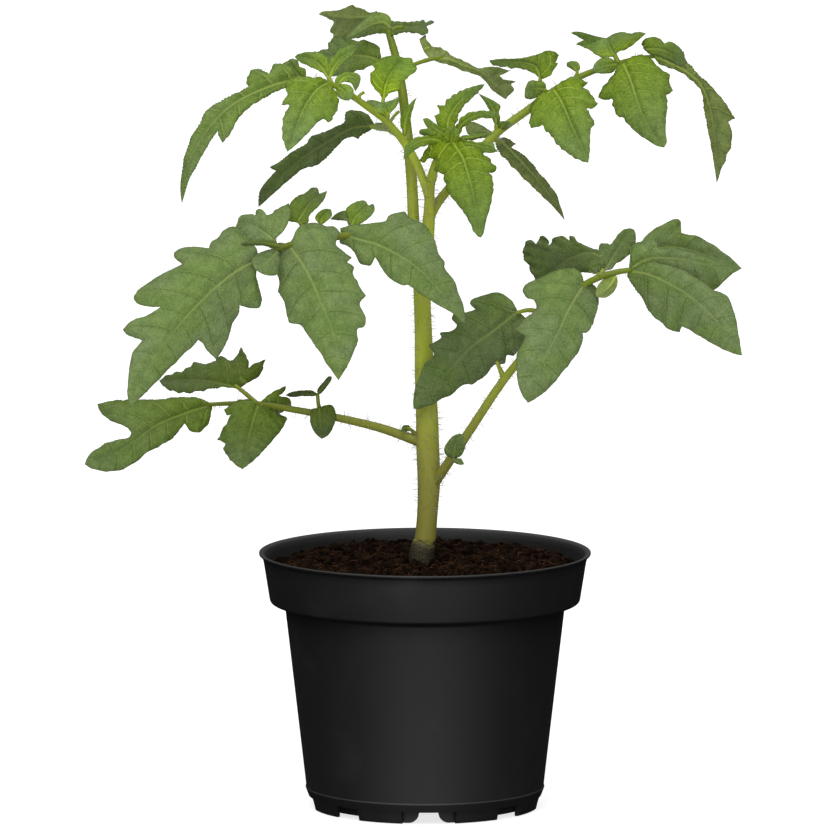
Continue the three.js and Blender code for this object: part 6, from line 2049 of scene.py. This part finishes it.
@dataclass(frozen=True)
class Pot:
    """The nursery pot: a turned shell with a notched foot and drainage holes.

    Each wide notch shows two inner panels with a rounded corner, and each narrow one a screen whose
    underside is `screen` above the ground.
    """

    segments: int = 160
    corner_steps: int = 5
    floor_underside: float = 4.4
    notches: int = 8
    turn: float = 2.0
    wide_notch: float = 19.4
    narrow_notch: float = 11.0
    panel: float = 6.3
    panel_round: float = 3.9
    panel_foot: float = 0.05
    screen: float = 1.3
    screen_margin: float = 3.0
    panel_radius: float = 38.4
    panel_thickness: float = 1.1
    overlap: float = 0.4
    block_steps: int = 16
    drain_radius: float = 3.5
    drain_circle: float = 30.0
    drain_sides: int = 24
    cut_inner: float = 37.5
    cut_outer: float = 44.0
    cut_low: float = -1.0
    cut_high: float = 10.0
    crease: float = 32.0

    # Radius, height and how round the corner is.
    PROFILE = (
        (0, 0, 0), (10, 0, 0.4), (10, 4.4, 0.6), (39.6, 4.4, 0.4), (39.6, 0.0, 0.3), (41.0, 0, 0.4),
        (41.8, 3.3, 1.2), (43.3, 7.3, 0.15), (43.0, 7.7, 0.1), (50.6, 73.1, 0.5), (51.4, 74.1, 0.5),
        (56.0, 74.9, 1.0), (58.3, 89.4, 1.6), (58.9, 91.4, 0.8), (60.0, 92.2, 0.3), (60.0, 92.9, 0.3),
        (59.2, 93.0, 0.4), (58.0, 92.4, 0.7), (57.3, 90.6, 0.8), (55.4, 76.3, 0.9), (49.4, 74.3, 0.9),
        (41.9, 7.6, 1.6), (40.4, 5.6, 0.8), (10, 5.6, 0.6), (8.9, 1.2, 0.5), (0, 1.2, 0),
    )

    def rounded(self) -> list[tuple[float, float]]:
        """Rounds the profile's corners.

        Returns:
            The rounded profile's radii and heights.
        """
        corners = [np.array(c[:2], float) for c in self.PROFILE]
        made: list[tuple[float, float]] = [tuple(corners[0])]
        for i in range(1, len(corners) - 1):
            here, bend = corners[i], self.PROFILE[i][2]
            ways = [corners[i - 1] - here, corners[i + 1] - here]
            reach = min(bend, *(np.linalg.norm(way) * 0.45 for way in ways))
            start, end = (here + way / np.linalg.norm(way) * reach for way in ways)
            for t in np.linspace(0, 1, self.corner_steps):
                spot = (1 - t) ** 2 * start + 2 * t * (1 - t) * here + t**2 * end
                made.append((float(spot[0]), float(spot[1])))
        return [*made, tuple(corners[-1])]

    def shell(self) -> Shape:
        """Turns the profile into the whole shell.

        Returns:
            The shell.
        """
        profile = self.rounded()[1:-1]
        angle = around(self.segments)
        across, back = np.cos(angle), np.sin(angle)
        rings = [np.column_stack([r * across, r * back, np.full(self.segments, z)]) for r, z in profile]
        shape = Shape()
        shape.add(np.vstack(rings), rod(len(rings), self.segments))
        return shape

    def block(
        self,
        shape: Shape,
        inner: float,
        outer: float,
        middle: float,
        width: float,
        low: float | np.ndarray,
        high: float,
    ) -> None:
        """Adds a block that follows the pot's round.

        Args:
            shape: The shape that grows.
            inner: Its inner radius.
            outer: Its outer radius.
            middle: The angle of its middle, in radians.
            width: Its width along the round.
            low: Its underside's height, or the height at each step along its width.
            high: Its top's height.
        """
        steps = self.block_steps
        angles = middle + np.linspace(-0.5, 0.5, steps + 1) * width / ((inner + outer) / 2)
        rows = []
        for radius, height in ((inner, low), (outer, low), (outer, high), (inner, high)):
            heights = np.broadcast_to(height, steps + 1)
            rows.append(np.column_stack([radius * np.cos(angles), radius * np.sin(angles), heights]))
        points = np.stack(rows, axis=1).reshape(-1, 3)
        ends = [(0, 1, 2, 3), tuple(4 * steps + k for k in (3, 2, 1, 0))]
        shape.add(points, [*ends, *turned_over(tube(steps + 1, 4))])

    def notch(self, cutters: Shape, panels: Shape, middle: float, wide: bool) -> None:
        """Adds one notch's cutter, and the panels or the screen that show in it.

        Args:
            cutters: The shape that is cut out of the pot.
            panels: The shape that is joined to it.
            middle: The angle of the notch's middle, in radians.
            wide: Whether it is a wide one.
        """
        width = self.wide_notch if wide else self.narrow_notch
        top = self.floor_underside - self.panel_foot
        self.block(cutters, self.cut_inner, self.cut_outer, middle, width, self.cut_low, top)
        half = self.panel_thickness / 2
        reach = (self.panel_radius - half, self.panel_radius + half)
        high = self.floor_underside + self.overlap
        if not wide:
            self.block(panels, *reach, middle, width + self.screen_margin, self.screen, high)
            return
        # The corner nearest to the notch's middle is rounded.
        inward = np.linspace(0, self.panel, self.block_steps + 1)
        fall = np.clip(self.panel_round - inward, 0, self.panel_round)
        low = self.panel_round - np.sqrt(self.panel_round**2 - fall**2) + self.panel_foot
        for side in (-1, 1):
            offset = side * (width - self.panel) / 2 / self.panel_radius
            self.block(panels, *reach, middle + offset, self.panel, low[::side], high)

    def drain(self, cutters: Shape, angle: float) -> None:
        """Adds the cutter of one drainage hole.

        Args:
            cutters: The shape that is cut out of the pot.
            angle: Where the hole lies round the pot, in radians.
        """
        turns = around(self.drain_sides)
        ring = np.column_stack([np.cos(turns), np.sin(turns)]) * self.drain_radius
        ring += self.drain_circle * np.array([math.cos(angle), math.sin(angle)])
        heights = (np.full(self.drain_sides, z) for z in (self.cut_low, self.cut_high))
        points = np.vstack([np.column_stack([ring, height]) for height in heights])
        cutters.add(points, rod(2, self.drain_sides))

    def build(self, finishes: Finishes) -> None:
        """Builds the pot and lets it stand for its node.

        Args:
            finishes: The plant's materials.
        """
        shell = self.shell().object("pot_shell", [finishes.plastic])
        cutters, panels = Shape(), Shape()
        start = math.radians(-90 + self.turn)
        for i in range(self.notches):
            middle = start + 2 * math.pi * i / self.notches
            self.notch(cutters, panels, middle, i % 2 == 0)
            self.drain(cutters, middle + math.pi / self.notches)
        knife = cutters.object("pot_cutters", [])
        cut = shell.modifiers.new("notches", "BOOLEAN")
        cut.object = knife
        cut.operation = "DIFFERENCE"
        cut.solver = "EXACT"
        piece = baked(shell, "pot_dressed")
        bpy.data.objects.remove(knife)
        self.join(piece, panels, finishes.plastic)
        piece.data.polygons.foreach_set("use_smooth", [True] * len(piece.data.polygons))
        piece.data.set_sharp_from_angle(angle=math.radians(self.crease))
        fit(piece, Slot.PLASTIC, "pot")

    @staticmethod
    def join(piece: bpy.types.Object, extra: Shape, material: bpy.types.Material) -> None:
        """Adds a shape to a piece.

        Args:
            piece: The piece that grows.
            extra: The shape.
            material: The piece's own material.
        """
        other = extra.object("pot_panels", [material])
        with bpy.context.temp_override(active_object=piece, selected_editable_objects=[piece, other]):
            bpy.ops.object.join()


# ---- studio ---------------------------------------------------------------------------------


@dataclass(frozen=True)
class Lamp:
    """A distant soft lamp.

    `azimuth` is where it stands round the plant, 0 at the front and 90 at the right, `elevation`
    how high it stands and `spread` how wide it looks from the plant, all in degrees.
    """

    name: str
    strength: float
    azimuth: float
    elevation: float
    spread: float

    def build(self) -> None:
        """Hangs the lamp."""
        data = bpy.data.lights.new(self.name, "SUN")
        data.energy = self.strength
        data.angle = math.radians(self.spread)
        turn, rise = math.radians(self.azimuth), math.radians(self.elevation)
        way = Vector((math.sin(turn) * math.cos(rise), -math.cos(turn) * math.cos(rise), math.sin(rise)))
        linked(self.name, data).rotation_euler = way.to_track_quat("Z", "Y").to_euler()


@dataclass(frozen=True)
class Studio:
    """The plain pale floor, the soft light and the camera."""

    floor_size: float = 60.0
    floor_drop: float = 0.0002
    floor_colour: Colour = (0.36, 0.36, 0.36)
    floor_glow: float = 0.76
    view_end: float = 100.0
    zenith: float = 1.65
    low_sky: float = 0.05
    horizon: float = 0.006
    lamps: tuple[Lamp, ...] = (Lamp("key", 1.25, -12, 46, 30), Lamp("fill", 1.35, 0, 9, 84))

    def floor(self) -> None:
        """Lays the floor, which gloss doesn't mirror."""
        mesh = bpy.data.meshes.new("floor")
        half = self.floor_size / 2
        corners = [(-half, -half, 0), (half, -half, 0), (half, half, 0), (-half, half, 0)]
        mesh.from_pydata(corners, [], [(0, 1, 2, 3)])
        paint = Paint("pale_floor", 0.9, 0.1)
        paint.give({"Base Color": (*self.floor_colour, 1.0), "Emission Color": (1.0, 1.0, 1.0, 1.0)})
        paint.give({"Emission Strength": self.floor_glow})
        mesh.materials.append(paint.material)
        floor = linked("floor", mesh)
        floor.location.z = -self.floor_drop
        floor.visible_glossy = False

    def sky(self) -> None:
        """Makes an even sky that is brightest overhead."""
        world = bpy.data.worlds.new("studio")
        bpy.context.scene.world = world
        world.use_nodes = True
        graph = Graph(world.node_tree)
        place = graph.node("ShaderNodeTexCoord", {}).outputs["Generated"]
        split = graph.node("ShaderNodeSeparateXYZ", {0: place})
        half = {0: split.outputs["Z"], 1: 0.5, 2: 0.5}
        shift = graph.node("ShaderNodeMath", half, operation="MULTIPLY_ADD")
        ramp = graph.node("ShaderNodeValToRGB", {0: shift.outputs[0]})
        stops = ((0.0, self.horizon), (0.5, self.horizon), (0.64, self.low_sky), (1.0, self.zenith))
        while len(ramp.color_ramp.elements) < len(stops):
            ramp.color_ramp.elements.new(0.5)
        for element, (position, value) in zip(ramp.color_ramp.elements, stops):
            element.position = position
            element.color = (value, value, value, 1.0)
        graph.join(world.node_tree.nodes["Background"].inputs["Color"], ramp.outputs[0])

    def camera(self) -> None:
        """Stands the camera on the line of sight."""
        data = bpy.data.cameras.new("camera")
        data.lens = Sight.LENS
        data.sensor_width = Sight.SENSOR
        data.clip_end = self.view_end
        camera = linked("camera", data)
        camera.location = Vector(Sight.EYE * MM)
        way = Vector((Sight.TARGET - Sight.EYE) * MM)
        camera.rotation_euler = way.to_track_quat("-Z", "Y").to_euler()
        bpy.context.scene.camera = camera

    def build(self) -> None:
        """Sets up floor, light and camera."""
        self.floor()
        self.sky()
        for lamp in self.lamps:
            lamp.build()
        self.camera()
        bpy.context.scene.view_settings.view_transform = "Standard"


def main() -> None:
    """Dresses the plant, piece by piece."""
    logging.basicConfig(level=logging.INFO, format="%(name)s: %(message)s")
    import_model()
    finishes = Finishes.mixed()
    Studio().build()
    for maker in (Pot(), Soil(), Stem(), *(Leaf(plan) for plan in LEAF_PLANS), HairCoat()):
        maker.build(finishes)


if __name__ == "__main__":
    main()
